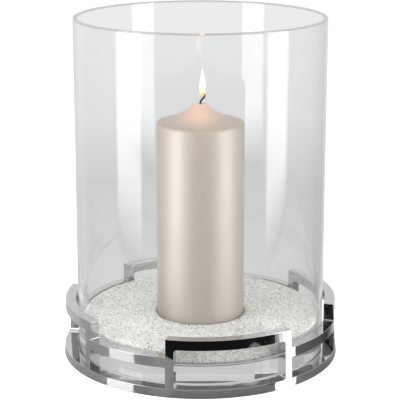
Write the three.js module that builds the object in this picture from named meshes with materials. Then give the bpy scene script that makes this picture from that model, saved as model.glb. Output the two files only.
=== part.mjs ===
// Hurricane candle holder: a heavy glass cylinder that stands in an openwork metal ring,
// with a bed of coarse sand and a pillar candle in it.
// Millimetres, +Z up. The origin is the middle of the footprint, on the table.
import * as THREE from 'three';

// Glass cylinder, drawn with a thick solid base
const glassRadius = 113;
const glassHeight = 306.5;
const glassWall = 4;
const glassBaseThickness = 18;
const glassHeelRadius = 5;
const glassFloorFillet = 6;
const glassFootWidth = 10;
const glassPuntDepth = 1.2;
const glassPuntSlopeWidth = 60;

// Openwork ring: a bottom hoop, four tall frames and four low rails between them
const ringClearance = 3.2;
const ringTopThickness = 8;
const ringLean = 1.6;
const hoopFlare = 1.4;
const hoopHeight = 7.5;
const hoopEdgeChamfer = 0.8;
const frameWindowHeight = 35;
const windowFilletRadius = 3;
const frameTopRailHeight = 9.1;
const frameAngle = THREE.MathUtils.degToRad(53.5);
const postWidth = 7.6;
const lowWindowHeight = 18.8;
const lowRailHeight = 9;

// Ledge inside the hoop that carries the glass
const ledgeWidth = 12;
const ledgeThickness = 3.5;

// Felt pads stuck under the hoop
const padDiameter = 8;
const padThickness = 0.5;

// Bed of sand. It dips between the candle and the glass, and each wave of its dip has a count round
// the axis, a turn from the inner to the outer edge in radians, and a share of the depth
const sandDepth = 14.6;
const sandDipDepth = 1.6;
const sandDipMean = 0.5;
const sandWaves = [
  { count: 5, turn: 4, share: 0.3 },
  { count: 9, turn: -7, share: 0.18 },
];
const looseFit = 0.3;

// Pillar candle
const candleRadius = 40;
const candleHeight = 200;
const candleSunkIn = 5;
const candleConeHeight = 16;
const candleShoulderRadius = 3.2;
const candleTipRadius = 6.5;
const coneHollowRadius = 15.6;
const coneHollowRise = 5.1;
const wickRadius = 0.9;
const wickRise = 10.5;
const wickLean = 3.6;
const wickLeanAngle = THREE.MathUtils.degToRad(-12.7);

// Facets of the round surfaces. three.js cuts an arc in twice as many pieces as it is asked for
const roundSegments = 72;
const candleSegments = 60;
const padSegments = 24;
const sandRings = 6;
const filletDivisions = 3;
const wickDivisions = 4;
const wickStep = 3;

// Heights and radii that follow from the sizes above
const hoopBottom = padThickness;
const hoopTop = hoopBottom + hoopHeight;
const lowRailBottom = hoopTop + lowWindowHeight;
const lowRailTop = lowRailBottom + lowRailHeight;
const frameRailBottom = hoopTop + frameWindowHeight;
const ringTop = frameRailBottom + frameTopRailHeight;
const ledgeTop = hoopBottom + ledgeThickness;
const ringInnerRadius = glassRadius + ringClearance;
const ringTopRadius = ringInnerRadius + ringTopThickness;
const hoopTopRadius = ringTopRadius + ringLean;
const ringFootRadius = hoopTopRadius + hoopFlare;
const glassBottom = ledgeTop;
const glassFloor = glassBottom + glassBaseThickness;
const glassBore = glassRadius - glassWall;
const sandTop = glassFloor + looseFit + sandDepth;
const sandRadius = glassBore - looseFit;
const sandHoleRadius = candleRadius + looseFit;
const candleBottom = sandTop - candleSunkIn;
const wickBoreRadius = wickRadius + looseFit;

const nickel = new THREE.MeshStandardMaterial({ color: 0xc6c7c9, metalness: 1, roughness: 0.1 });
const clearGlass = new THREE.MeshStandardMaterial({
  color: 0xe6eceb,
  metalness: 0,
  roughness: 0.03,
  transparent: true,
  opacity: 0.35,
});
const sand = new THREE.MeshStandardMaterial({ color: 0xe2e1da, metalness: 0, roughness: 0.95 });
const wax = new THREE.MeshStandardMaterial({ color: 0xe3d8cc, metalness: 0, roughness: 0.38 });
const burntCotton = new THREE.MeshStandardMaterial({ color: 0x1d1a18, metalness: 0, roughness: 0.9 });
const felt = new THREE.MeshStandardMaterial({ color: 0x4a4a4c, metalness: 0, roughness: 1 });

function namedMesh(name, geometry, material) {
  const mesh = new THREE.Mesh(geometry, material);
  mesh.name = name;
  return mesh;
}

// A profile of radius against height, turned about the Z axis
function turned(profile, segments) {
  const geometry = new THREE.LatheGeometry(profile, segments);
  geometry.rotateX(Math.PI / 2);
  return geometry;
}

// The outer face of the ring leans in towards its top, and its hoop spreads to the foot
function ringOuterRadius(height) {
  if (height < hoopTop) {
    return ringFootRadius - (hoopFlare * (height - hoopBottom)) / hoopHeight;
  }
  return hoopTopRadius - (ringLean * (height - hoopTop)) / (ringTop - hoopTop);
}

// A bar of the ring: a piece of a flat hoop between two angles and two heights
function ringBar(fromAngle, toAngle, bottom, top) {
  const outline = new THREE.Shape();
  outline.absarc(0, 0, hoopTopRadius, fromAngle, toAngle, false);
  outline.absarc(0, 0, ringInnerRadius, toAngle, fromAngle, true);
  const facetAngle = (2 * Math.PI) / roundSegments;
  const curveSegments = Math.ceil((toAngle - fromAngle) / facetAngle / 2);
  const bar = new THREE.ExtrudeGeometry(outline, {
    depth: top - bottom,
    bevelEnabled: false,
    curveSegments,
  });
  bar.translate(0, 0, bottom);
  const middleRadius = (ringInnerRadius + ringTopRadius) / 2;
  const corners = bar.attributes.position;
  for (let i = 0; i < corners.count; i += 1) {
    const radius = Math.hypot(corners.getX(i), corners.getY(i));
    const height = corners.getZ(i);
    const share = radius > middleRadius ? ringOuterRadius(height) / radius : 1;
    corners.setXYZ(i, corners.getX(i) * share, corners.getY(i) * share, height);
  }
  return bar;
}

// The bottom hoop, an angle section: its upright wall carries the frames, its ledge the glass
function bottomHoop() {
  const ledgeRadius = ringInnerRadius - ledgeWidth;
  const section = [
    new THREE.Vector2(ledgeRadius, hoopBottom),
    new THREE.Vector2(ringFootRadius - hoopEdgeChamfer, hoopBottom),
    new THREE.Vector2(ringOuterRadius(hoopBottom + hoopEdgeChamfer), hoopBottom + hoopEdgeChamfer),
    new THREE.Vector2(ringOuterRadius(hoopTop), hoopTop),
    new THREE.Vector2(ringInnerRadius, hoopTop),
    new THREE.Vector2(ringInnerRadius, ledgeTop),
    new THREE.Vector2(ledgeRadius, ledgeTop),
    new THREE.Vector2(ledgeRadius, hoopBottom),
  ];
  return turned(section, roundSegments);
}

// A post of a tall frame, drawn flat with rounded window corners and then bent to the ring.
// It stands at one angle and reaches towards the middle of its window
function framePost(angle, towardsWindow) {
  const outline = new THREE.Path();
  const cornerX = postWidth + windowFilletRadius;
  const upperCornerY = frameWindowHeight - windowFilletRadius;
  outline.moveTo(0, 0);
  outline.lineTo(cornerX, 0);
  outline.absarc(cornerX, windowFilletRadius, windowFilletRadius, -Math.PI / 2, -Math.PI, true);
  outline.lineTo(postWidth, upperCornerY);
  outline.absarc(cornerX, upperCornerY, windowFilletRadius, Math.PI, Math.PI / 2, true);
  outline.lineTo(0, frameWindowHeight);
  const corners = outline.getPoints(filletDivisions).map((corner) => {
    return new THREE.Vector2(corner.x * towardsWindow, corner.y);
  });
  const post = new THREE.ExtrudeGeometry(new THREE.Shape(corners), { depth: 1, bevelEnabled: false });
  const position = post.attributes.position;
  for (let i = 0; i < position.count; i += 1) {
    const height = hoopTop + position.getY(i);
    const turn = angle + position.getX(i) / hoopTopRadius;
    const thickness = ringOuterRadius(height) - ringInnerRadius;
    const radius = ringInnerRadius + thickness * position.getZ(i);
    position.setXYZ(i, radius * Math.cos(turn), radius * Math.sin(turn), height);
  }
  return post;
}

// One tall frame, centred on the +X axis of its group: two posts under a top rail
function tallFrame(side) {
  const frame = new THREE.Group();
  const half = frameAngle / 2;
  const leftPost = framePost(-half, 1);
  const rightPost = framePost(half, -1);
  const topRail = ringBar(-half, half, frameRailBottom, ringTop);
  frame.add(namedMesh(`${side}_frame_left_post`, leftPost, nickel));
  frame.add(namedMesh(`${side}_frame_right_post`, rightPost, nickel));
  frame.add(namedMesh(`${side}_frame_top_rail`, topRail, nickel));
  return frame;
}

// A low rail runs from one tall frame to the next
function lowRail(corner) {
  const start = frameAngle / 2;
  const end = Math.PI / 2 - frameAngle / 2;
  return namedMesh(`${corner}_low_rail`, ringBar(start, end, lowRailBottom, lowRailTop), nickel);
}

function feltPad(side) {
  const pad = new THREE.CylinderGeometry(padDiameter / 2, padDiameter / 2, padThickness, padSegments);
  pad.rotateX(Math.PI / 2);
  const mesh = namedMesh(`${side}_felt_pad`, pad, felt);
  mesh.position.set((ringInnerRadius + ringFootRadius) / 2, 0, padThickness / 2);
  return mesh;
}

function openworkRing() {
  const ring = new THREE.Group();
  ring.add(namedMesh('bottom_hoop', bottomHoop(), nickel));
  const quarters = [
    ['right', 'back_right'],
    ['back', 'back_left'],
    ['left', 'front_left'],
    ['front', 'front_right'],
  ];
  quarters.forEach(([side, corner], index) => {
    const quarter = new THREE.Group();
    quarter.rotation.z = (index * Math.PI) / 2;
    quarter.add(tallFrame(side), lowRail(corner), feltPad(side));
    ring.add(quarter);
  });
  return ring;
}

// The glass, from the middle of its underside round its rim to the middle of its floor
function glassCylinder() {
  const footRadius = glassRadius - glassHeelRadius;
  const puntRadius = footRadius - glassFootWidth;
  const rimRadius = glassWall / 2;
  const outline = new THREE.Path();
  outline.moveTo(0, glassPuntDepth);
  outline.lineTo(puntRadius - glassPuntSlopeWidth, glassPuntDepth);
  outline.lineTo(puntRadius, 0);
  outline.lineTo(footRadius, 0);
  outline.absarc(footRadius, glassHeelRadius, glassHeelRadius, -Math.PI / 2, 0, false);
  outline.lineTo(glassRadius, glassHeight - rimRadius);
  outline.absarc(glassRadius - rimRadius, glassHeight - rimRadius, rimRadius, 0, Math.PI, false);
  const filletRadius = glassBore - glassFloorFillet;
  const filletHeight = glassBaseThickness + glassFloorFillet;
  outline.lineTo(glassBore, filletHeight);
  outline.absarc(filletRadius, filletHeight, glassFloorFillet, 0, -Math.PI / 2, true);
  outline.lineTo(0, glassBaseThickness);
  const wall = turned(outline.getPoints(filletDivisions), roundSegments);
  const glass = namedMesh('glass_cylinder', wall, clearGlass);
  glass.position.z = glassBottom;
  return glass;
}

// How far the surface of the sand lies below its edges
function sandDip(radius, angle) {
  const across = (radius - sandHoleRadius) / (sandRadius - sandHoleRadius);
  const trough = sandDipDepth * Math.sin(Math.PI * across);
  return sandWaves.reduce(
    (dip, wave) => dip + trough * wave.share * Math.sin(wave.count * angle + wave.turn * across),
    trough * sandDipMean,
  );
}

// The sand fills the foot of the glass and has a shallow hole where the candle stands
function sandFill() {
  const fillet = glassFloorFillet - looseFit;
  const outline = new THREE.Path();
  outline.moveTo(0, 0);
  outline.lineTo(sandRadius - fillet, 0);
  outline.absarc(sandRadius - fillet, fillet, fillet, -Math.PI / 2, 0, false);
  outline.lineTo(sandRadius, sandDepth);
  for (let ring = 1; ring <= sandRings; ring += 1) {
    outline.lineTo(THREE.MathUtils.lerp(sandRadius, sandHoleRadius, ring / sandRings), sandDepth);
  }
  outline.lineTo(sandHoleRadius, sandDepth - candleSunkIn);
  outline.lineTo(0, sandDepth - candleSunkIn);
  const bed = turned(outline.getPoints(filletDivisions), roundSegments);
  const points = bed.getAttribute('position');
  const surfaceFloor = sandDepth - candleSunkIn / 2;
  for (let index = 0; index < points.count; index += 1) {
    const [x, y, height] = [points.getX(index), points.getY(index), points.getZ(index)];
    const radius = Math.hypot(x, y);
    if (height > surfaceFloor && radius < sandRadius) {
      points.setZ(index, height - sandDip(radius, Math.atan2(y, x)));
    }
  }
  const fill = namedMesh('sand_fill', bed, sand);
  fill.position.z = glassFloor + looseFit;
  return fill;
}

// The candle: a straight pillar, a rounded shoulder and a hollowed cone, with a bore for its wick
function candleBody() {
  const shoulderHeight = candleHeight - candleConeHeight;
  const shoulderCentre = new THREE.Vector2(
    candleRadius - candleShoulderRadius,
    shoulderHeight - candleShoulderRadius,
  );
  const outline = new THREE.Path();
  outline.moveTo(wickBoreRadius, 0);
  outline.lineTo(candleRadius, 0);
  outline.lineTo(candleRadius, shoulderCentre.y);
  outline.absarc(shoulderCentre.x, shoulderCentre.y, candleShoulderRadius, 0, Math.PI / 2, false);
  const hollowHeight = shoulderHeight + coneHollowRise;
  outline.quadraticCurveTo(coneHollowRadius, hollowHeight, candleTipRadius, candleHeight);
  outline.lineTo(wickBoreRadius, candleHeight);
  outline.lineTo(wickBoreRadius, 0);
  const pillar = turned(outline.getPoints(filletDivisions), candleSegments);
  return namedMesh('candle_body', pillar, wax);
}

// The wick runs up through the whole candle, leans over at its top and curls back
function candleWick() {
  const straight = new THREE.LineCurve3(new THREE.Vector3(0, 0, 0), new THREE.Vector3(0, 0, candleHeight));
  const curl = new THREE.CubicBezierCurve3(
    new THREE.Vector3(0, 0, candleHeight),
    new THREE.Vector3(0, 0, candleHeight + wickRise / 2),
    new THREE.Vector3(wickLean * 2, 0, candleHeight + wickRise / 2),
    new THREE.Vector3(wickLean / 2, 0, candleHeight + wickRise),
  );
  const path = new THREE.CurvePath();
  path.add(straight);
  path.add(curl);
  const section = new THREE.Shape();
  section.absarc(0, 0, wickRadius, 0, 2 * Math.PI, false);
  const geometry = new THREE.ExtrudeGeometry(section, {
    extrudePath: path,
    steps: Math.ceil(path.getLength() / wickStep),
    curveSegments: wickDivisions,
    bevelEnabled: false,
  });
  const wick = namedMesh('candle_wick', geometry, burntCotton);
  wick.rotation.z = wickLeanAngle;
  return wick;
}

function pillarCandle() {
  const candle = new THREE.Group();
  candle.add(candleBody(), candleWick());
  candle.position.z = candleBottom;
  return candle;
}

const holder = new THREE.Group();
holder.add(openworkRing(), glassCylinder(), sandFill(), pillarCandle());

export default holder;
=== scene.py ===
"""Looks of a hurricane candle holder, in metres, +Z up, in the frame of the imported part.

A clear glass cylinder stands in an openwork ring of polished nickel. It holds a bed of coarse white
and grey sand, and a burning pillar candle with a pearl finish.
"""

import logging
import math
from dataclasses import dataclass, field
from enum import Enum
from typing import Sequence

import bpy
import numpy as np
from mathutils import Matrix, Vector


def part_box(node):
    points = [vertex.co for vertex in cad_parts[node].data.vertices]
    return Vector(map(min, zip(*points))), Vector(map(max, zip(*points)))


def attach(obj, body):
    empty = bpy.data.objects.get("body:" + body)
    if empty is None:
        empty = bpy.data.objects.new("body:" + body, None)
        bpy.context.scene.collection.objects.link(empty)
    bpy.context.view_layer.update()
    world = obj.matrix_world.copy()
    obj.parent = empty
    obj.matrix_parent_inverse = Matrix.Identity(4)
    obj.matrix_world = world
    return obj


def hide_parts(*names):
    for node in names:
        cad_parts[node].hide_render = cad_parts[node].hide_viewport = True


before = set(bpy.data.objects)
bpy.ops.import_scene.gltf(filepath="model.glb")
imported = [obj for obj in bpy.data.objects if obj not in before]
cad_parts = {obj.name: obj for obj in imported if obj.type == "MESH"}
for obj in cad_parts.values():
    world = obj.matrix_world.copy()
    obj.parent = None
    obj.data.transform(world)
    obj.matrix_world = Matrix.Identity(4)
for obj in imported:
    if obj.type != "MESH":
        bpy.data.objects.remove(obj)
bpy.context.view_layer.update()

LOG = logging.getLogger("candle_holder")

Array = np.ndarray
Pair = tuple[float, float]
Place = tuple[float, float, float]
Colour = tuple[float, float, float, float]
Tones = tuple[Pair, ...]
Socket = bpy.types.NodeSocket
Value = float | Socket
Tint = Colour | Socket


class Body(str, Enum):
    """The bodies of the part that move on their own."""

    RING = "ring"
    GLASS = "glass"
    CANDLE = "candle"


class Slot(str, Enum):
    """The record's material slots."""

    NICKEL = "nickel_plate"
    FELT = "felt"
    GLASS = "clear_glass"
    SAND = "sand"
    WAX = "pearl_wax"
    WICK = "burnt_wick"


class Side(Enum):
    """The four sides of the ring, as the angle of each from the +X axis."""

    RIGHT = 0.0
    BACK = math.pi / 2
    LEFT = math.pi
    FRONT = 3 * math.pi / 2


class Corner(Enum):
    """The four low rails between the tall frames, as the angle of each from the +X axis."""

    BACK_RIGHT = math.pi / 4
    BACK_LEFT = 3 * math.pi / 4
    FRONT_LEFT = 5 * math.pi / 4
    FRONT_RIGHT = 7 * math.pi / 4


class Past(float, Enum):
    """Depths of a ray that lie just past none, one, two and three of its mirrorings or passes."""

    NONE = 0.5
    ONE = 1.5
    TWO = 2.5
    THREE = 3.5


# Shapes


def unit(rows: Array) -> Array:
    """The rows of an array, each brought to length 1."""
    return rows / np.linalg.norm(rows, axis=1)[:, None]


@dataclass(frozen=True)
class Surface:
    """A closed mesh as arrays."""

    vertices: Array
    faces: list
    normals: Array | None = None


@dataclass(frozen=True)
class Outline:
    """A line of points in a plane with the direction that faces out of the solid at each."""

    points: Array
    normals: Array

    def stretched(self, step: float, closed: bool = False) -> "Outline":
        """Adds points along the straight stretches.

        Args:
            step: The longest stretch that is left.
            closed: Whether the last point leads back to the first.

        Returns:
            The same line with more points.
        """
        ends = np.roll(np.arange(len(self.points)), -1)
        count = len(self.points) if closed else len(self.points) - 1
        points, normals = [], []
        for i in range(count):
            gap = self.points[ends[i]] - self.points[i]
            pieces = max(1, math.ceil(float(np.hypot(*gap)) / step))
            share = (np.arange(pieces) / pieces)[:, None]
            points.append(self.points[i] + share * gap)
            normals.append(self.normals[i] + share * (self.normals[ends[i]] - self.normals[i]))
        if not closed:
            points.append(self.points[-1:])
            normals.append(self.normals[-1:])
        return Outline(np.vstack(points), unit(np.vstack(normals)))


def rounded_outline(corners: Sequence[Place], closed: bool = False, steps: int = 6) -> Outline:
    """Rounds the corners of a polygon that runs anticlockwise.

    A corner with its sides' directions d and e is an arc round the point that lies the radius away
    from both sides. It starts and ends the radius times the tangent of half the turn before and after
    the corner, and its normal turns evenly from that of one side to that of the other.

    Args:
        corners: For each corner its two coordinates and its radius.
        closed: Whether the last corner leads back to the first.
        steps: Into how many pieces each arc is cut.

    Returns:
        The rounded line.
    """
    table = np.array(corners, float)
    place, radii = table[:, :2], table[:, 2]
    after = unit(np.roll(place, -1, axis=0) - place)
    before = np.roll(after, 1, axis=0)
    points, normals = [], []
    share = np.linspace(0, 1, steps + 1)
    for i, (corner, radius) in enumerate(zip(place, radii, strict=True)):
        start = np.array([before[i, 1], -before[i, 0]])
        end = np.array([after[i, 1], -after[i, 0]])
        if not closed and i in (0, len(place) - 1):
            points.append(corner[None])
            normals.append((end if i == 0 else start)[None])
            continue
        turn = math.atan2(float(np.cross(before[i], after[i])), float(before[i] @ after[i]))
        begin = corner - before[i] * radius * math.tan(abs(turn) / 2)
        sign = math.copysign(1.0, turn)
        centre = begin - sign * radius * start
        angle = math.atan2(start[1], start[0]) + turn * share
        facing = np.stack([np.cos(angle), np.sin(angle)], axis=1)
        points.append(centre + sign * radius * facing)
        normals.append(facing)
    return Outline(np.vstack(points), np.vstack(normals))


def mirrored(points: list[Array], normals: list[Array]) -> Outline:
    """Completes a line that ends in the middle with its mirror image.

    Args:
        points: Pieces of the left half, as length along the ring and height.
        normals: Their normals.

    Returns:
        The whole line.
    """
    half, facing = np.vstack(points), np.vstack(normals)
    flip = np.array([-1.0, 1.0])
    whole = np.vstack([half, half[-2::-1] * flip])
    return Outline(whole, np.vstack([facing, facing[-2::-1] * flip]))


def grid_quads(rows: int, columns: int, close_rows: bool = False) -> list:
    """Corner numbers of the quads on a grid of points that is numbered row by row.

    Args:
        rows: Number of rows.
        columns: Number of columns. The last joins the first.
        close_rows: Whether the last row joins the first, too.

    Returns:
        Four numbers for each quad, which faces along its columns crossed with its rows.
    """
    number = np.arange(rows * columns).reshape(rows, columns)
    if close_rows:
        number = np.vstack([number, number[:1]])
    number = np.hstack([number, number[:, :1]])
    ring = [number[:-1, :-1], number[:-1, 1:], number[1:, 1:], number[1:, :-1]]
    return np.stack(ring, axis=-1).reshape(-1, 4).tolist()


def capped_quads(stations: int, around: int) -> list:
    """Faces of a bar with flat ends.

    Args:
        stations: Number of sections along it.
        around: Number of points in each section.

    Returns:
        Its quads and its two ends.
    """
    first = list(range(around))
    last = [i + (stations - 1) * around for i in first]
    return grid_quads(stations, around) + [first[::-1], last]


def turned(outline: Outline, segments: int, closed: bool = False) -> Surface:
    """Turns an outline of radius and height about the Z axis.

    A point (r, z) at turn t becomes (r cos t, r sin t, z). An open outline starts and ends on the
    axis, where its ring of points becomes one.

    Args:
        outline: Radius and height, anticlockwise as seen with the radius to the right.
        segments: Number of steps in a full turn.
        closed: Whether the outline is a loop that stays clear of the axis.

    Returns:
        The turned surface with exact normals.
    """
    turn = np.linspace(0, 2 * np.pi, segments, endpoint=False)
    ring = np.stack([np.cos(turn), np.sin(turn)], axis=1)

    def around(rows: Array) -> Array:
        """Lays values across and along the axis round the whole turn."""
        across = rows[:, 0, None, None] * ring[None]
        along = np.broadcast_to(rows[:, 1, None, None], (len(rows), segments, 1))
        return np.concatenate([across, along], axis=2).reshape(-1, 3)

    if closed:
        quads = grid_quads(len(outline.points), segments, close_rows=True)
        return Surface(around(outline.points), quads, around(outline.normals))
    vertices, normals = around(outline.points[1:-1]), around(outline.normals[1:-1])
    low, high = len(vertices), len(vertices) + 1
    first = np.arange(segments)
    last = first + low - segments
    fans = [
        np.stack([np.full(segments, low), np.roll(first, -1), first], axis=1),
        np.stack([np.full(segments, high), last, np.roll(last, -1)], axis=1),
    ]
    poles = np.array([[0, 0, outline.points[0, 1]], [0, 0, outline.points[-1, 1]]])
    facing = np.array([[0, 0, -1.0], [0, 0, math.copysign(1.0, outline.normals[-1, 1])]])
    faces = grid_quads(len(outline.points) - 2, segments) + np.vstack(fans).tolist()
    return Surface(np.vstack([vertices, poles]), faces, np.vstack([normals, facing]))


def tube(path: Array, radius: Array, sides: int, twist: float, lobes: int, lobe_depth: float) -> Surface:
    """Carries a lobed section along a path.

    The section turns evenly by the twist. Its radius at angle a is the given one times
    (1 + depth cos(lobes a)). The frame of each point is its tangent and two lines square to it.

    Args:
        path: Points along the middle.
        radius: Radius at each point.
        sides: Corners of the section.
        twist: Turn of the section over the whole path.
        lobes: Number of strands that show.
        lobe_depth: Depth of the grooves between them, as a share of the radius.

    Returns:
        The tube, with flat ends.
    """
    tangent = unit(np.gradient(path, axis=0))
    side = unit(np.cross(tangent, [0.0, 1.0, 0.0]))
    other = np.cross(tangent, side)
    corner = np.linspace(0, 2 * np.pi, sides, endpoint=False)
    turn = corner[None] + np.linspace(0, twist, len(path))[:, None]
    reach = radius[:, None] * (1 + lobe_depth * np.cos(lobes * corner))[None]
    across, up = (reach * np.cos(turn))[..., None], (reach * np.sin(turn))[..., None]
    vertices = (path[:, None] + across * side[:, None] + up * other[:, None]).reshape(-1, 3)
    return Surface(vertices, capped_quads(len(path), sides))


def add_piece(name: str, surface: Surface, smooth: bool = True) -> bpy.types.Object:
    """Makes an object of a surface, at the origin.

    Args:
        name: Its name.
        surface: Its mesh.
        smooth: Whether its faces are shaded as one smooth surface.

    Returns:
        The object, linked to the scene.
    """
    mesh = bpy.data.meshes.new(name)
    mesh.from_pydata(surface.vertices.tolist(), [], surface.faces)
    mesh.polygons.foreach_set("use_smooth", np.full(len(mesh.polygons), smooth))
    if surface.normals is not None:
        mesh.normals_split_custom_set_from_vertices(surface.normals.tolist())
    mesh.update()
    piece = bpy.data.objects.new(name, mesh)
    bpy.context.scene.collection.objects.link(piece)
    return piece


def install(
    piece: bpy.types.Object, body: Body, material: bpy.types.Material, nodes: Sequence[str] = ()
) -> None:
    """Lets a finished piece ride on its body in place of its nodes, with its finish.

    Args:
        piece: The piece.
        body: The body that it moves with.
        material: Its material.
        nodes: The nodes that it stands for, if any.
    """
    piece.data.materials.append(material)
    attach(piece, body.value)
    if nodes:
        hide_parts(*nodes)
    LOG.info("%s: %d faces, rides on %s", piece.name, len(piece.data.polygons), body.value)


# Shader nodes


def grey(level: float) -> Colour:
    """A neutral colour of one level."""
    return (level, level, level, 1.0)


@dataclass(frozen=True)
class Wiring:
    """A node tree, and the ways in which nodes are added to it."""

    tree: bpy.types.NodeTree

    @classmethod
    def emptied(cls, owner: bpy.types.Material | bpy.types.World) -> "Wiring":
        """Starts the nodes of a material or a world from nothing.

        Args:
            owner: The material or the world.

        Returns:
            Its empty node tree.
        """
        owner.use_nodes = True
        owner.node_tree.nodes.clear()
        return cls(owner.node_tree)

    def connect(self, node: bpy.types.Node, inputs: dict) -> bpy.types.Node:
        """Sets a node's inputs.

        Args:
            node: The node.
            inputs: For each input, by name or number, a value or the socket that feeds it.

        Returns:
            The node.
        """
        for key, value in inputs.items():
            if isinstance(value, Socket):
                self.tree.links.new(value, node.inputs[key])
            else:
                node.inputs[key].default_value = value
        return node

    def place(self, kind: str, inputs: dict | None = None, **settings: str) -> bpy.types.Node:
        """Adds one node, sets it up and connects it.

        Args:
            kind: Its type, without the leading ShaderNode.
            inputs: For each input, by name or number, a value or the socket that feeds it.
            settings: Its other properties.

        Returns:
            The node.
        """
        node = self.tree.nodes.new(f"ShaderNode{kind}")
        for key, value in settings.items():
            setattr(node, key, value)
        return self.connect(node, inputs or {})

    def math(self, operation: str, *values: Value) -> Socket:
        """Puts up to three values through one step of arithmetic, and gives its result."""
        return self.place("Math", dict(enumerate(values)), operation=operation).outputs[0]

    def vector(self, operation: str, first: Socket, second: Socket | Sequence[float]) -> Socket:
        """Puts two vectors through a step that gives one number, and gives that number."""
        return self.place("VectorMath", {0: first, 1: second}, operation=operation).outputs["Value"]

    def spread(
        self,
        value: Value,
        source: tuple[Value, Value] = (0.0, 1.0),
        target: tuple[Value, Value] = (0.0, 1.0),
        smooth: bool = False,
    ) -> Socket:
        """Carries a value from one range over to another, and holds it at the ends.

        Args:
            value: The value.
            source: The range that it comes from.
            target: The range that it goes to.
            smooth: Whether it starts and ends slowly.

        Returns:
            The new value.
        """
        limits = dict(zip(("From Min", "From Max", "To Min", "To Max"), (*source, *target), strict=True))
        kind = "SMOOTHSTEP" if smooth else "LINEAR"
        return self.place("MapRange", {"Value": value, **limits}, interpolation_type=kind).outputs["Result"]

    def height(self, where: Socket) -> Socket:
        """The height of a place."""
        return self.place("SeparateXYZ", {0: where}).outputs["Z"]

    def scaled(self, where: Socket, scale: Place) -> Socket:
        """Coordinates times a scale for each axis."""
        return self.place("Mapping", {"Vector": where, "Scale": scale}).outputs[0]

    def noise(self, where: Socket, scale: Value, detail: float) -> Socket:
        """Soft noise, from 0 to 1."""
        return self.place("TexNoise", {"Vector": where, "Scale": scale, "Detail": detail}).outputs["Fac"]

    def ramp(self, value: Socket, stops: Sequence[tuple[float, Colour]]) -> Socket:
        """Turns a value into a colour.

        Args:
            value: The value, from 0 to 1.
            stops: Places and their colours, in rising order.

        Returns:
            The colour.
        """
        node = self.place("ValToRGB", {"Fac": value})
        elements = node.color_ramp.elements
        while len(elements) < len(stops):
            elements.new(0.5)
        for element, (position, colour) in zip(elements, stops, strict=True):
            element.position, element.color = position, colour
        return node.outputs["Color"]

    def toned(self, value: Socket, tones: Tones) -> Socket:
        """Turns a value into a grey.

        Args:
            value: The value.
            tones: Values in rising order, each with its grey level.

        Returns:
            The grey, as a colour.
        """
        first, last = tones[0][0], tones[-1][0]
        share = self.spread(value, (first, last))
        return self.ramp(share, [((place - first) / (last - first), grey(level)) for place, level in tones])

    def mix(self, factor: Value, first: Tint, second: Tint, blend: str = "MIX") -> Socket:
        """Mixes two colours.

        Args:
            factor: How much of the second is taken.
            first: The first colour.
            second: The second colour.
            blend: How they are blended.

        Returns:
            The mixed colour.
        """
        node = self.place("Mix", {"Factor": factor}, data_type="RGBA", blend_type=blend)
        colours = [i for i, socket in enumerate(node.inputs) if socket.type == "RGBA"]
        self.connect(node, dict(zip(colours, (first, second), strict=True)))
        return next(socket for socket in node.outputs if socket.type == "RGBA")

    def switched(self, factor: Value, first: bpy.types.Node, second: bpy.types.Node) -> Socket:
        """One shader where the factor is 0, and another where it is 1."""
        shaders = {"Fac": factor, 1: first.outputs[0], 2: second.outputs[0]}
        return self.place("MixShader", shaders).outputs[0]


def new_group(
    name: str, inputs: dict[str, float | Place | Colour], outputs: dict[str, str]
) -> tuple[Wiring, dict[str, Socket], bpy.types.Node]:
    """Starts a node group that reads a place.

    Args:
        name: Its name.
        inputs: Its other inputs with their defaults: a number, three for a vector, four for a colour.
        outputs: For each output its kind.

    Returns:
        The group's nodes, its inputs by name and its output node.
    """
    tree = bpy.data.node_groups.new(name, "ShaderNodeTree")
    for label, default in {"Vector": (0.0, 0.0, 0.0), **inputs}.items():
        kind = "Float" if isinstance(default, float) else {3: "Vector", 4: "Color"}[len(default)]
        socket = tree.interface.new_socket(name=label, in_out="INPUT", socket_type=f"NodeSocket{kind}")
        socket.default_value = default
    for label, kind in outputs.items():
        tree.interface.new_socket(name=label, in_out="OUTPUT", socket_type=f"NodeSocket{kind}")
    given = tree.nodes.new("NodeGroupInput")
    sockets = {socket.name: socket for socket in given.outputs if socket.name}
    return Wiring(tree), sockets, tree.nodes.new("NodeGroupOutput")


def hand_finish_group() -> bpy.types.NodeTree:
    """Waviness and rub marks.

    A slow noise and a share of a fine one make the height. A noise with more detail, pressed together
    along the upright, makes the roughness.

    Returns:
        The group.
    """
    slow, fine, broken = 1.0, 2.0, 6.0
    stretch, contrast = (1.0, 1.0, 7.0), (0.35, 0.75)
    sizes = {"Wave Scale": 60.0, "Grain Scale": 900.0, "Grain Share": 0.1}
    levels = {"Roughness Low": 0.03, "Roughness High": 0.1}
    group, given, result = new_group("hand_finish", {**sizes, **levels}, {"Height": "Float", "Roughness": "Float"})
    waves = group.noise(given["Vector"], given["Wave Scale"], slow)
    grain = group.noise(given["Vector"], given["Grain Scale"], fine)
    height = group.math("ADD", waves, group.math("MULTIPLY", grain, given["Grain Share"]))
    rubs = group.noise(group.scaled(given["Vector"], stretch), given["Wave Scale"], broken)
    roughness = group.spread(rubs, contrast, (given["Roughness Low"], given["Roughness High"]))
    group.connect(result, {"Height": height, "Roughness": roughness})
    return group.tree


def speckle_group() -> bpy.types.NodeTree:
    """Small flakes: each cell of a Voronoi pattern takes its own shade between two colours.

    Returns:
        The group.
    """
    shades = {"Scale": 1500.0, "Light": grey(0.8), "Dark": grey(0.6)}
    group, given, result = new_group("speckle", shades, {"Color": "Color", "Mask": "Float"})
    cells = group.place("TexVoronoi", {"Vector": given["Vector"], "Scale": given["Scale"]})
    shade = group.place("SeparateColor", {"Color": cells.outputs["Color"]}).outputs[0]
    group.connect(result, {"Color": group.mix(shade, given["Light"], given["Dark"]), "Mask": shade})
    return group.tree


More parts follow.
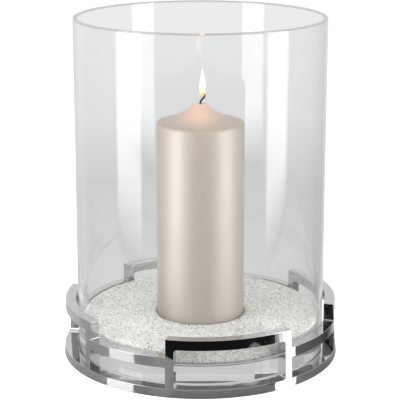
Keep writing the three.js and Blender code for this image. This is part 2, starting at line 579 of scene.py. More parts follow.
def glow_group() -> bpy.types.NodeTree:
    """Painted light round a point: a tint times e to minus the square of distance over reach.

    Returns:
        The group.
    """
    sizes = {"Centre": (0.0, 0.0, 0.0), "Reach": 0.01, "Tint": (1.0, 0.5, 0.3, 1.0)}
    group, given, result = new_group("painted_wax_glow", sizes, {"Color": "Color", "Mask": "Float"})
    share = group.math("DIVIDE", group.vector("DISTANCE", given["Vector"], given["Centre"]), given["Reach"])
    fall = group.math("MULTIPLY", group.math("MULTIPLY", share, share), -1.0)
    mask = group.math("EXPONENT", fall)
    group.connect(result, {"Color": group.mix(mask, grey(0.0), given["Tint"]), "Mask": mask})
    return group.tree


# Finishes


@dataclass(frozen=True)
class SharedEffects:
    """The node groups that more than one finish uses."""

    hand_finish: bpy.types.NodeTree
    speckle: bpy.types.NodeTree
    glow: bpy.types.NodeTree

    @classmethod
    def build(cls) -> "SharedEffects":
        """Builds each group once."""
        return cls(hand_finish_group(), speckle_group(), glow_group())


@dataclass(frozen=True)
class HandFinish:
    """How wavy and how worn a surface is that was finished by hand."""

    wave_scale: float
    grain_scale: float
    grain_share: float
    roughness: Pair
    depth: float


@dataclass(frozen=True)
class Speckle:
    """How fine the flakes of a surface are, their two shades, and how far they stand out."""

    scale: float
    light: Colour
    dark: Colour
    depth: float = 0.0


@dataclass(frozen=True)
class Glow:
    """Light painted into the wax round one point, as an emitted tint."""

    reach: float
    tint: Colour
    offset: Place = (0.0, 0.0, 0.0)


@dataclass(frozen=True)
class Started(Wiring):
    """A material with one Principled shader that the finishes build on."""

    material: bpy.types.Material
    shader: bpy.types.Node
    output: bpy.types.Node
    where: Socket

    @classmethod
    def new(cls, name: str, principled: dict) -> "Started":
        """Starts a material.

        Args:
            name: Its name.
            principled: The shader's inputs.

        Returns:
            The material with its shader, its output and the Object coordinates.
        """
        material = bpy.data.materials.new(name)
        wiring = Wiring.emptied(material)
        shader = wiring.place("BsdfPrincipled", principled)
        output = wiring.place("OutputMaterial", {"Surface": shader.outputs[0]})
        return cls(wiring.tree, material, shader, output, wiring.place("TexCoord").outputs["Object"])

    def feed(self, label: str, value: Value | Tint) -> None:
        """Sets one of the shader's inputs."""
        self.connect(self.shader, {label: value})

    def use(self, group: bpy.types.NodeTree, inputs: dict) -> bpy.types.Node:
        """Places a node group that reads the Object coordinates, with its own values.

        Args:
            group: The group.
            inputs: Its other inputs.

        Returns:
            The group's node.
        """
        node = self.tree.nodes.new("ShaderNodeGroup")
        node.node_tree = group
        return self.connect(node, {"Vector": self.where, **inputs})

    def bump(self, height: Socket, distance: float) -> None:
        """Feeds a height into the shader's normal.

        Args:
            height: The height.
            distance: How far a height of 1 stands out.
        """
        node = self.place("Bump", {"Height": height, "Distance": distance, "Strength": 1.0})
        self.feed("Normal", node.outputs["Normal"])

    def rubbed(self, shared: SharedEffects, finish: HandFinish) -> None:
        """Gives the surface the waves and the roughness of a hand finish.

        Args:
            shared: The node groups.
            finish: The finish.
        """
        sizes = {"Wave Scale": finish.wave_scale, "Grain Scale": finish.grain_scale, "Grain Share": finish.grain_share}
        low, high = finish.roughness
        node = self.use(shared.hand_finish, {**sizes, "Roughness Low": low, "Roughness High": high})
        self.feed("Roughness", node.outputs["Roughness"])
        self.bump(node.outputs["Height"], finish.depth)

    def flaked(self, shared: SharedEffects, speckle: Speckle, where: Socket | None = None) -> Socket:
        """Lays flakes over the surface.

        Args:
            shared: The node groups.
            speckle: The flakes.
            where: The coordinates that they follow, if not the Object coordinates.

        Returns:
            Their colour.
        """
        inputs = {"Scale": speckle.scale, "Light": speckle.light, "Dark": speckle.dark}
        if where is not None:
            inputs["Vector"] = where
        node = self.use(shared.speckle, inputs)
        if speckle.depth > 0:
            self.bump(node.outputs["Mask"], speckle.depth)
        return node.outputs["Color"]


@dataclass(frozen=True)
class PolishedNickel:
    """Nickel plate on a cast and hand-polished ring: a mirror with a slow waviness.

    Seen through the thick base of the glass it would be black, as the light that runs to and fro
    between the two passes the limit of bounces. returned_light stands in for that light, on rays that
    have passed the surface of the glass base_passes times.
    """

    tint: Colour = (0.70, 0.70, 0.71, 1.0)
    polish: HandFinish = HandFinish(
        wave_scale=55.0, grain_scale=700.0, grain_share=0.02, roughness=(0.03, 0.09), depth=0.00022
    )
    returned_light: float = 0.40
    base_passes: float = 2.0
    passes_margin: float = 0.6

    def material(self, shared: SharedEffects) -> bpy.types.Material:
        """Builds the material.

        Args:
            shared: The node groups.

        Returns:
            The material.
        """
        started = Started.new("polished_nickel", {"Metallic": 1.0, "Base Color": self.tint})
        started.rubbed(shared, self.polish)
        path = started.place("LightPath").outputs
        through = started.math("COMPARE", path["Transmission Depth"], self.base_passes, self.passes_margin)
        early = started.math("LESS_THAN", path["Glossy Depth"], Past.THREE)
        both = started.math("MULTIPLY", through, early)
        started.feed("Emission Strength", started.math("MULTIPLY", both, self.returned_light))
        started.feed("Emission Color", grey(1.0))
        return started.material


@dataclass(frozen=True)
class ClearGlass:
    """Clear drawn glass. Rays from lamps go straight through it, as its caustics would be lost in noise.

    returned_light stands in for the light that runs to and fro in its base and its rim past the limit
    of bounces. It is given for the base and for the rim.
    """

    tint: Colour = (0.985, 0.99, 0.99, 1.0)
    refraction: float = 1.45
    shadow_tint: Colour = grey(0.93)
    returned_light: Pair = (0.10, 0.30)
    base_to_rim: Pair = (0.03, 0.2)

    def material(self) -> bpy.types.Material:
        """Builds the material.

        Returns:
            The material.
        """
        clear = {"Roughness": 0.0, "IOR": self.refraction, "Transmission Weight": 1.0}
        started = Started.new("drawn_glass", {"Base Color": self.tint, **clear})
        path = started.place("LightPath").outputs
        late = started.math("GREATER_THAN", path["Glossy Depth"], Past.THREE)
        level = started.spread(started.height(started.where), self.base_to_rim, self.returned_light)
        started.feed("Emission Strength", started.math("MULTIPLY", late, level))
        started.feed("Emission Color", grey(1.0))
        passing = started.place("BsdfTransparent", {"Color": self.shadow_tint})
        mixed = started.switched(path["Is Shadow Ray"], started.shader, passing)
        started.connect(started.output, {"Surface": mixed})
        return started.material


@dataclass(frozen=True)
class WhiteSand:
    """Coarse sand. Each grain has its own tint, with painted shade in it, and its face a fine tooth."""

    tooth: Speckle = Speckle(scale=2600.0, light=grey(1.0), dark=grey(0.88), depth=0.0001)
    pack: Speckle = Speckle(
        scale=800.0, light=(0.90, 0.90, 0.86, 1.0), dark=(0.52, 0.52, 0.49, 1.0), depth=0.0004
    )
    grain_roughness: float = 0.5
    bed_roughness: float = 0.85

    def grains(self, shared: SharedEffects) -> bpy.types.Material:
        """Builds the material of the loose grains, which read their tint and painted shade from the mesh.

        Args:
            shared: The node groups.

        Returns:
            The material.
        """
        started = Started.new("sand_grains", {"Roughness": self.grain_roughness})
        tint = started.place("Attribute", attribute_name="grain_tint_and_shade").outputs["Color"]
        tooth = started.flaked(shared, self.tooth)
        started.feed("Base Color", started.mix(1.0, tint, tooth, "MULTIPLY"))
        return started.material

    def packed(self, shared: SharedEffects) -> bpy.types.Material:
        """Builds the material of the bed below the loose grains.

        Args:
            shared: The node groups.

        Returns:
            The material.
        """
        started = Started.new("packed_sand", {"Roughness": self.bed_roughness})
        started.feed("Base Color", started.flaked(shared, self.pack))
        return started.material


@dataclass(frozen=True)
class PearlWax:
    """Wax with a pearl lacquer: satin, with small bright flakes, and painted light: the flame's peach glow on the
    cone, and light from above.
    """

    flakes: Speckle = Speckle(scale=2200.0, light=(0.365, 0.30, 0.23, 1.0), dark=(0.32, 0.262, 0.20, 1.0))
    satin: HandFinish = HandFinish(
        wave_scale=40.0, grain_scale=1300.0, grain_share=0.06, roughness=(0.60, 0.66), depth=0.0004
    )
    lustre: float = 0.4
    coat: float = 1.0
    coat_refraction: float = 2.8
    coat_roughness: float = 0.54
    # Painted light as emission: the flame's glow round the tip and on the front of the cone, and, widest, the light
    # that falls on the cone from above.
    glows: tuple[Glow, ...] = (
        Glow(reach=0.009, tint=(0.20, 0.075, 0.03, 1.0)),
        Glow(reach=0.0155, tint=(0.40, 0.16, 0.08, 1.0), offset=(-0.0031, -0.0137, -0.011)),
        # This one paints the light from above on the cone, not light of the flame.
        Glow(reach=0.034, tint=(0.15, 0.11, 0.11, 1.0)),
    )

    def material(self, shared: SharedEffects, tip: Place) -> bpy.types.Material:
        """Builds the material.

        Args:
            shared: The node groups.
            tip: The top of the cone, under the flame.

        Returns:
            The material.
        """
        coat = {"Coat Weight": self.coat, "Coat IOR": self.coat_refraction, "Coat Roughness": self.coat_roughness}
        started = Started.new("pearl_lacquer", {"Metallic": self.lustre, "Emission Strength": 1.0, **coat})
        started.feed("Base Color", started.flaked(shared, self.flakes))
        started.rubbed(shared, self.satin)
        # Each glow adds its painted light to the wax's emission.
        lights = []
        for glow in self.glows:
            centre = tuple(a + b for a, b in zip(tip, glow.offset, strict=True))
            node = started.use(shared.glow, {"Centre": centre, "Reach": glow.reach, "Tint": glow.tint})
            lights.append(node.outputs["Color"])
        total = lights[0]
        for light in lights[1:]:
            total = started.mix(1.0, total, light, "ADD")
        started.feed("Emission Color", total)
        return started.material


@dataclass(frozen=True)
class CharredWick:
    """Burnt cotton: near black, with the flame's orange-brown light painted on towards its tip."""

    low: Colour = (0.018, 0.014, 0.012, 1.0)
    # The flame's light painted on the tip.
    high: Colour = (0.20, 0.085, 0.03, 1.0)
    black_share: float = 0.72
    roughness: float = 0.95
    ash_scale: float = 2500.0
    ash_detail: float = 4.0
    ash_depth: float = 0.0003

    def material(self, bottom: float, top: float) -> bpy.types.Material:
        """Builds the material.

        Args:
            bottom: The height where the wick leaves the wax.
            top: The height of its tip.

        Returns:
            The material.
        """
        started = Started.new("charred_cotton", {"Roughness": self.roughness})
        share = started.spread(started.height(started.where), (bottom, top))
        # The upper end of the ramp is painted flame light.
        stops = [(0.0, self.low), (self.black_share, self.low), (1.0, self.high)]
        started.feed("Base Color", started.ramp(share, stops))
        started.bump(started.noise(started.where, self.ash_scale, self.ash_detail), self.ash_depth)
        return started.material


@dataclass(frozen=True)
class WoolFelt:
    """Grey felt of short matted fibres."""

    fibres: Speckle = Speckle(
        scale=1800.0, light=(0.16, 0.16, 0.165, 1.0), dark=(0.07, 0.07, 0.075, 1.0), depth=0.0003
    )
    lay: Place = (1.0, 3.0, 1.0)
    nap: float = 0.4

    def material(self, shared: SharedEffects) -> bpy.types.Material:
        """Builds the material.

        Args:
            shared: The node groups.

        Returns:
            The material.
        """
        started = Started.new("wool_felt", {"Roughness": 1.0, "Sheen Weight": self.nap})
        along = started.scaled(started.where, self.lay)
        started.feed("Base Color", started.flaked(shared, self.fibres, along))
        return started.material


@dataclass(frozen=True)
class FlameLight:
    """One layer of a candle flame: its size as shares and metres, its light and how much it covers."""

    piece: str
    finish: str
    width: float
    grow: float
    strength: float
    colours: tuple[tuple[float, Colour], ...]
    cover: Tones

    def material(self, bottom: float, top: float) -> bpy.types.Material:
        """Builds the material.

        Args:
            bottom: The height of its foot.
            top: The height of its tip.

        Returns:
            The material.
        """
        dark = {"Base Color": grey(0.0), "Roughness": 1.0, "Specular IOR Level": 0.0}
        started = Started.new(self.finish, {**dark, "Emission Strength": self.strength})
        share = started.spread(started.height(started.where), (bottom, top))
        started.feed("Emission Color", started.ramp(share, self.colours))
        started.feed("Alpha", started.ramp(share, [(place, grey(level)) for place, level in self.cover]))
        return started.material


FLAME_CORE = FlameLight(
    piece="flame",
    finish="flame_core",
    width=0.82,
    grow=0.0,
    strength=3.0,
    colours=(
        (0.0, (0.50, 0.16, 0.04, 1.0)),
        (0.18, (0.85, 0.50, 0.20, 1.0)),
        (0.38, (1.0, 0.90, 0.70, 1.0)),
        (0.85, (1.0, 0.92, 0.74, 1.0)),
        (1.0, (1.0, 0.72, 0.38, 1.0)),
    ),
    cover=((0.0, 0.25), (0.2, 0.7), (0.36, 1.0), (1.0, 1.0)),
)
FLAME_MANTLE = FlameLight(
    piece="flame_mantle",
    finish="flame_mantle",
    width=1.0,
    grow=0.0006,
    strength=1.0,
    colours=((0.0, (1.0, 0.52, 0.26, 1.0)), (1.0, (1.0, 0.70, 0.42, 1.0))),
    cover=((0.0, 0.05), (0.3, 0.22), (0.8, 0.3), (1.0, 0.1)),
)


# The ring


@dataclass
class OpenworkRing:
    """The metal ring: a hoop with a ledge, four tall frames, four low rails and four felt pads."""

    edge_radius: float = 0.00035
    outer_corner: float = 0.0007
    window_corner: float = 0.003
    joint_fillet: float = 0.0011
    post_width: float = 0.0076
    sunk: float = 0.0026
    lean: float = 0.0016
    foot_spread: float = 0.0009
    flare: float = 0.0006
    inner_gain: float = 0.0008
    foot_drop: float = 0.0003
    pad_edge: float = 0.00025
    pad_rings: int = 6
    pad_segments: int = 48
    arc_steps: int = 5
    hoop_segments: int = 360
    window_steps: int = 8
    post_steps: int = 25
    top_rail_steps: int = 23
    fillet_steps: int = 6
    low_rail_steps: int = 13
    foot: float = field(init=False)
    hoop_top: float = field(init=False)
    ring_top: float = field(init=False)
    rail_bottom: float = field(init=False)
    low_bottom: float = field(init=False)
    low_top: float = field(init=False)
    foot_radius: float = field(init=False)
    inner_radius: float = field(init=False)
    ledge_radius: float = field(init=False)
    ledge_top: float = field(init=False)
    half_frame: float = field(init=False)

    def __post_init__(self) -> None:
        """Reads the ring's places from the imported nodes."""
        low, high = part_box("bottom_hoop")
        self.foot, self.hoop_top, self.foot_radius = low.z - self.foot_drop, high.z, high.x
        rail_low, rail_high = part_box("front_frame_top_rail")
        self.rail_bottom, self.ring_top = rail_low.z, rail_high.z
        low_rail_low, low_rail_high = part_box("front_right_low_rail")
        self.low_bottom, self.low_top = low_rail_low.z, low_rail_high.z
        points = np.array([v.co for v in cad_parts["bottom_hoop"].data.vertices])
        reach = np.hypot(points[:, 0], points[:, 1])
        upper = points[:, 2] > self.hoop_top - self.edge_radius / 2
        self.inner_radius, self.ledge_radius = float(reach[upper].min()), float(reach.min())
        ledge = points[reach < (self.inner_radius + self.ledge_radius) / 2]
        self.inner_radius -= self.inner_gain
        self.ledge_top = float(ledge[:, 2].max())
        self.half_frame = math.asin(rail_high.x / self.outer_radius(self.rail_bottom))

    @property
    def flat_radius(self) -> float:
        """The outer radius of the hoop's top, which lengths along the ring are measured at."""
        return self.foot_radius - self.foot_spread

    def outer_radius(self, height: float | Array) -> float | Array:
        """Radius of the outer face at a height.

        It falls evenly by the lean from the hoop to the top, and grows evenly by the flare from the
        hoop's top to its foot.

        Args:
            height: The height.

        Returns:
            The radius.
        """
        upright = self.lean * np.clip(np.asarray(height) - self.hoop_top, 0, None) / (self.ring_top - self.hoop_top)
        depth = np.clip((self.hoop_top - height) / (self.hoop_top - self.foot), 0, None)
        return self.flat_radius - upright + self.flare * depth

    def outer_slope(self, height: Array) -> Array:
        """How fast the radius of the outer face changes with height.

        Args:
            height: The height.

        Returns:
            The slope.
        """
        leaning = self.lean / (self.ring_top - self.hoop_top)
        spreading = self.flare / (self.hoop_top - self.foot)
        return -np.where(height > self.hoop_top, leaning, spreading)

    def leaned(self, surface: Surface) -> Surface:
        """Gives an upright ring its leaning and flared outer face.

        A point's distance from the inner face is scaled by the wall there over the upright wall, and
        its normal turns with it.

        Args:
            surface: Pieces whose outer face stands upright at flat_radius.

        Returns:
            The same pieces with the ring's real outer face.
        """
        x, y, z = surface.vertices.T
        radius = np.hypot(x, y)
        wall = self.flat_radius - self.inner_radius
        share = (self.outer_radius(z) - self.inner_radius) / wall
        beyond = np.clip(radius - self.inner_radius, 0, None)
        share = np.where(beyond > 0, share, 1.0)
        moved = np.where(beyond > 0, self.inner_radius + beyond * share, radius)
        vertices = np.stack([x * moved / radius, y * moved / radius, z], axis=1)
        out = np.stack([x / radius, y / radius], axis=1)
        facing = surface.normals
        outward = (facing[:, :2] * out).sum(1)
        around = facing[:, :2] - outward[:, None] * out
        tilt = beyond * self.outer_slope(z) / wall
        turned_out = outward / share
        raised = facing[:, 2] - turned_out * tilt
        normals = np.concatenate([around + turned_out[:, None] * out, raised[:, None]], axis=1)
        return Surface(vertices, surface.faces, unit(normals))

    def bar(self, outer: Outline, inner: Outline, angle: float) -> Surface:
        """Makes a bar with rounded edges between two lines drawn on the unrolled ring.

        The section at each place runs from the outer line to the inner line across the front, and
        back again across the rear. Each of its four edges is an arc: at angle a from the side it lies
        edge_radius (1 - cos a) in from the line and edge_radius (1 - sin a) behind the face.

        Args:
            outer: The line on the left of the direction of travel, as length along the ring and height.
            inner: The line on the right.
            angle: Where on the ring the length is 0.

        Returns:
            The bar, upright and closed at both ends.
        """
        quarter = np.linspace(0, np.pi / 2, self.arc_steps + 1)
        rows = []
        for line, face, arc in (
            (outer, 1.0, quarter),
            (inner, 1.0, quarter[::-1]),
            (inner, -1.0, quarter),
            (outer, -1.0, quarter[::-1]),
        ):
            inward = self.edge_radius * (1 - np.cos(arc))
            behind = self.edge_radius * (1 - np.sin(arc))
            spot = line.points[:, None] - inward[None, :, None] * line.normals[:, None]
            radius = self.flat_radius - behind if face > 0 else self.inner_radius + behind
            turn = angle + spot[..., 0] / self.flat_radius
            across = np.cos(arc)[None, :] * line.normals[:, None, 0]
            up = np.cos(arc)[None, :] * line.normals[:, None, 1]
            out = np.broadcast_to(face * np.sin(arc)[None, :], across.shape)
            points = [radius * np.cos(turn), radius * np.sin(turn), spot[..., 1]]
            facing = [out * np.cos(turn) - across * np.sin(turn), out * np.sin(turn) + across * np.cos(turn), up]
            rows.append((np.stack(points, axis=-1), np.stack(facing, axis=-1)))
        points, normals = (np.concatenate([row[i] for row in rows], axis=1) for i in (0, 1))
        return Surface(points.reshape(-1, 3), capped_quads(*points.shape[:2]), normals.reshape(-1, 3))

    def frame_lines(self) -> tuple[Outline, Outline]:
        """The two lines of a tall frame, from the foot of its left post over the top to the right.

        The inner line has a quarter circle at each corner of the window, also where the posts stand on
        the hoop, and the outer line a small one at each upper corner.

        Returns:
            The outer and the inner line.
        """
        reach = self.half_frame * self.flat_radius
        corner = self.window_corner
        foot = self.hoop_top - self.sunk
        quarter = np.linspace(0, np.pi / 2, self.window_steps + 1)
        rise = np.linspace(self.hoop_top + corner, self.rail_bottom - corner, self.post_steps + 1)[1:]
        span = np.linspace(0, 1, self.top_rail_steps + 1)[1:]
        inside = -reach + self.post_width
        opened, lifted = 1 - np.cos(quarter), 1 - np.sin(quarter)
        turned_in = np.stack([np.cos(quarter), np.sin(quarter)], axis=1)[1:]
        inner_points = [
            np.array([[inside + corner, foot]]),
            np.stack([inside + corner * lifted, self.hoop_top + corner * opened], axis=1),
            np.stack([np.full(len(rise), inside), rise], axis=1),
            np.stack([inside + corner * opened, self.rail_bottom - corner + corner * np.sin(quarter)], axis=1)[1:],
            np.stack([(inside + corner) * (1 - span), np.full(len(span), self.rail_bottom)], axis=1),
        ]
        inner_normals = [
            np.array([[1.0, 0.0]]),
            np.stack([np.sin(quarter), np.cos(quarter)], axis=1),
            np.tile([1.0, 0.0], (len(rise), 1)),
            turned_in * [1.0, -1.0],
            np.tile([0.0, -1.0], (len(span), 1)),
        ]
        small = self.outer_corner
        lower = np.concatenate([[foot], inner_points[1][:, 1], rise])
        top = self.ring_top - small
        lower = foot + (lower - foot) * (top - foot) / (lower[-1] - foot)
        outer_points = [
            np.stack([np.full(len(lower), -reach), lower], axis=1),
            np.stack([-reach + small * opened, top + small * np.sin(quarter)], axis=1)[1:],
            np.stack([(small - reach) * (1 - span), np.full(len(span), self.ring_top)], axis=1),
        ]
        outer_normals = [
            np.tile([-1.0, 0.0], (len(lower), 1)),
            turned_in * [-1.0, 1.0],
            np.tile([0.0, 1.0], (len(span), 1)),
        ]
        return mirrored(outer_points, outer_normals), mirrored(inner_points, inner_normals)

    def rail_lines(self) -> tuple[Outline, Outline]:
        """The upper and the lower line of a low rail, with a small quarter circle at each joint.

        Returns:
            The upper and the lower line.
        """
        reach = (math.pi / 4 - self.half_frame) * self.flat_radius
        fillet = self.joint_fillet
        quarter = np.linspace(0, np.pi / 2, self.fillet_steps + 1)
        span = np.linspace(0, 1, self.low_rail_steps + 1)[1:]
        opened, lifted = 1 - np.cos(quarter), 1 - np.sin(quarter)
        along = np.concatenate([[-reach - self.sunk], -reach + fillet * opened, (fillet - reach) * (1 - span)])
        away = np.concatenate([[fillet], fillet * lifted, np.zeros(len(span))])
        lean_in = np.concatenate([[0.0], np.cos(quarter), np.zeros(len(span))])
        upright = np.concatenate([[1.0], np.sin(quarter), np.ones(len(span))])
        lines = []
        for height, up in ((self.low_top, 1.0), (self.low_bottom, -1.0)):
            points = np.stack([along, height + up * away], axis=1)
            normals = np.stack([lean_in, up * upright], axis=1)
            lines.append(mirrored([points], [normals]))
        return lines[0], lines[1]

    def hoop(self) -> Surface:
        """The hoop, an angle section turned about the axis.

        Returns:
            The hoop, upright.
        """
        edge, fine = self.edge_radius, self.edge_radius / 2
        corners = [
            (self.ledge_radius, self.foot, fine),
            (self.flat_radius, self.foot, edge),
            (self.flat_radius, self.hoop_top, edge),
            (self.inner_radius, self.hoop_top, edge),
            (self.inner_radius, self.ledge_top, fine),
            (self.ledge_radius, self.ledge_top, fine),
        ]
        section = rounded_outline(corners, closed=True, steps=self.arc_steps).stretched(edge, closed=True)
        return turned(section, self.hoop_segments, closed=True)

    def pad(self, node: str) -> Surface:
        """A felt pad: a disc with soft edges.

        Args:
            node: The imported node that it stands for.

        Returns:
            The pad, where that node is.
        """
        low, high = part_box(node)
        radius, middle = (high.x - low.x) / 2, (low + high) / 2
        corners = [
            (0.0, low.z, 0.0),
            (radius, low.z, self.pad_edge),
            (radius, high.z, self.pad_edge),
            (0.0, high.z, 0.0),
        ]
        disc = turned(rounded_outline(corners).stretched(radius / self.pad_rings), self.pad_segments)
        return Surface(disc.vertices + [middle.x, middle.y, 0.0], disc.faces, disc.normals)

    def build(self, nickel: bpy.types.Material, felt: bpy.types.Material) -> None:
        """Builds and dresses the whole ring.

        Args:
            nickel: Material of the metal.
            felt: Material of the pads.
        """

        def fit(name: str, surface: Surface, *nodes: str) -> None:
            """Adds a metal piece of the ring in place of its nodes."""
            install(add_piece(name, self.leaned(surface)), Body.RING, nickel, nodes)

        fit("ring_hoop", self.hoop(), "bottom_hoop")
        for side in Side:
            word = side.name.lower()
            bars = [f"{word}_frame_{bar}" for bar in ("left_post", "right_post", "top_rail")]
            fit(f"{word}_tall_frame", self.bar(*self.frame_lines(), side.value), *bars)
            pad = f"{word}_felt_pad"
            install(add_piece(f"{word}_pad", self.pad(pad)), Body.RING, felt, [pad])
        for corner in Corner:
            word = corner.name.lower()
            fit(f"{word}_rail", self.bar(*self.rail_lines(), corner.value), f"{word}_low_rail")


# The glass


@dataclass
class GlassCylinder:
    """The glass cylinder with its heavy base, seen with the slight waves of drawn glass."""

    heel_radius: float = 0.005
    floor_fillet: float = 0.006
    foot_width: float = 0.010
    foot_edge: float = 0.002
    punt_depth: float = 0.0012
    punt_slope: float = 0.060
    punt_edge: float = 0.004
    rest_gap: float = 0.00015
    wall: float = 0.004
    rim_share: float = 0.98
    base: float = 0.018
    foot_gain: float = 0.0004
    rim_loss: float = 0.0005
    arc_steps: int = 12
    profile_step: float = 0.003
    segments: int = 300
    seed: int = 11
    wave_depth: float = 0.00004
    wave_count: int = 9
    wave_turns: tuple[int, int] = (2, 16)
    wave_rises: Pair = (-160, 160)
    pressed_depth: float = 0.000001
    pressed_height: float = 0.030
    pressed_reach: float = 0.030
    pressed_count: int = 8
    pressed_turns: tuple[int, int] = (22, 60)
    pressed_rises: Pair = (120, 420)
    least_radius: float = 1e-4

    def outline(self) -> Outline:
        """The glass from the middle of its underside round its rim to the middle of its floor.

        Returns:
            Its outline, as radius and height.
        """
        low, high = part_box("glass_cylinder")
        radius, floor = high.x + self.foot_gain, low.z + self.base
        foot_height = low.z + self.rest_gap
        top_radius = high.x - self.rim_loss
        rim = self.wall / 2 * self.rim_share
        foot = radius - self.heel_radius - self.foot_width
        corners = [
            (0.0, foot_height + self.punt_depth, 0.0),
            (foot - self.punt_slope, foot_height + self.punt_depth, self.punt_edge),
            (foot, foot_height, self.foot_edge),
            (radius, foot_height, self.heel_radius),
            (top_radius, high.z, rim),
            (top_radius - self.wall, high.z, rim),
            (radius - self.wall, floor, self.floor_fillet),
            (0.0, floor, 0.0),
        ]
        return rounded_outline(corners, steps=self.arc_steps).stretched(self.profile_step)

    def waved(self, surface: Surface) -> Surface:
        """Adds the waves of the glass.

        Each wave is the sine of a whole number of turns times the angle, plus a rise times the height,
        plus a start. The slow ones move the wall in and out and turn its normals. The finer ones only
        turn the normals, by e to minus the square of the distance from their height over their reach.

        Args:
            surface: The even glass.

        Returns:
            The waved glass.
        """
        chance = np.random.default_rng(self.seed)
        x, y, z = surface.vertices.T
        radius = np.maximum(np.hypot(x, y), self.least_radius)
        angle = np.arctan2(y, x)[:, None]
        turns = chance.integers(*self.wave_turns, self.wave_count)
        rises = chance.uniform(*self.wave_rises, self.wave_count)
        phase = angle * turns + z[:, None] * rises + chance.uniform(0, 2 * np.pi, self.wave_count)
        depth = np.full(self.wave_count, self.wave_depth / self.wave_count)
        height = np.sin(phase) @ depth
        fine_turns = chance.integers(*self.pressed_turns, self.pressed_count)
        fine_rises = chance.uniform(*self.pressed_rises, self.pressed_count)
        fine_rises = fine_rises * chance.choice([-1, 1], self.pressed_count)
        fine = angle * fine_turns + z[:, None] * fine_rises + chance.uniform(0, 2 * np.pi, self.pressed_count)
        near = np.exp(-(((z - self.pressed_height) / self.pressed_reach) ** 2)) * self.pressed_depth
        slope_z = np.cos(phase) @ (depth * rises) + near * (np.cos(fine) @ fine_rises)
        slope_t = (np.cos(phase) @ (depth * turns) + near * (np.cos(fine) @ fine_turns)) / radius
        share = np.hypot(surface.normals[:, 0], surface.normals[:, 1])
        level = np.zeros_like(z)
        around = np.stack([-y / radius, x / radius, level], axis=1)
        outward = np.stack([x / radius, y / radius, level], axis=1)
        lean = share * np.sign((surface.normals * outward).sum(1))
        normals = surface.normals - (lean * slope_t)[:, None] * around
        normals[:, 2] -= lean * slope_z
        return Surface(surface.vertices + (share * height)[:, None] * outward, surface.faces, unit(normals))

    def build(self, glass: bpy.types.Material) -> None:
        """Builds and dresses the glass."""
        surface = self.waved(turned(self.outline(), self.segments))
        install(add_piece("glass", surface), Body.GLASS, glass, ["glass_cylinder"])


# The sand


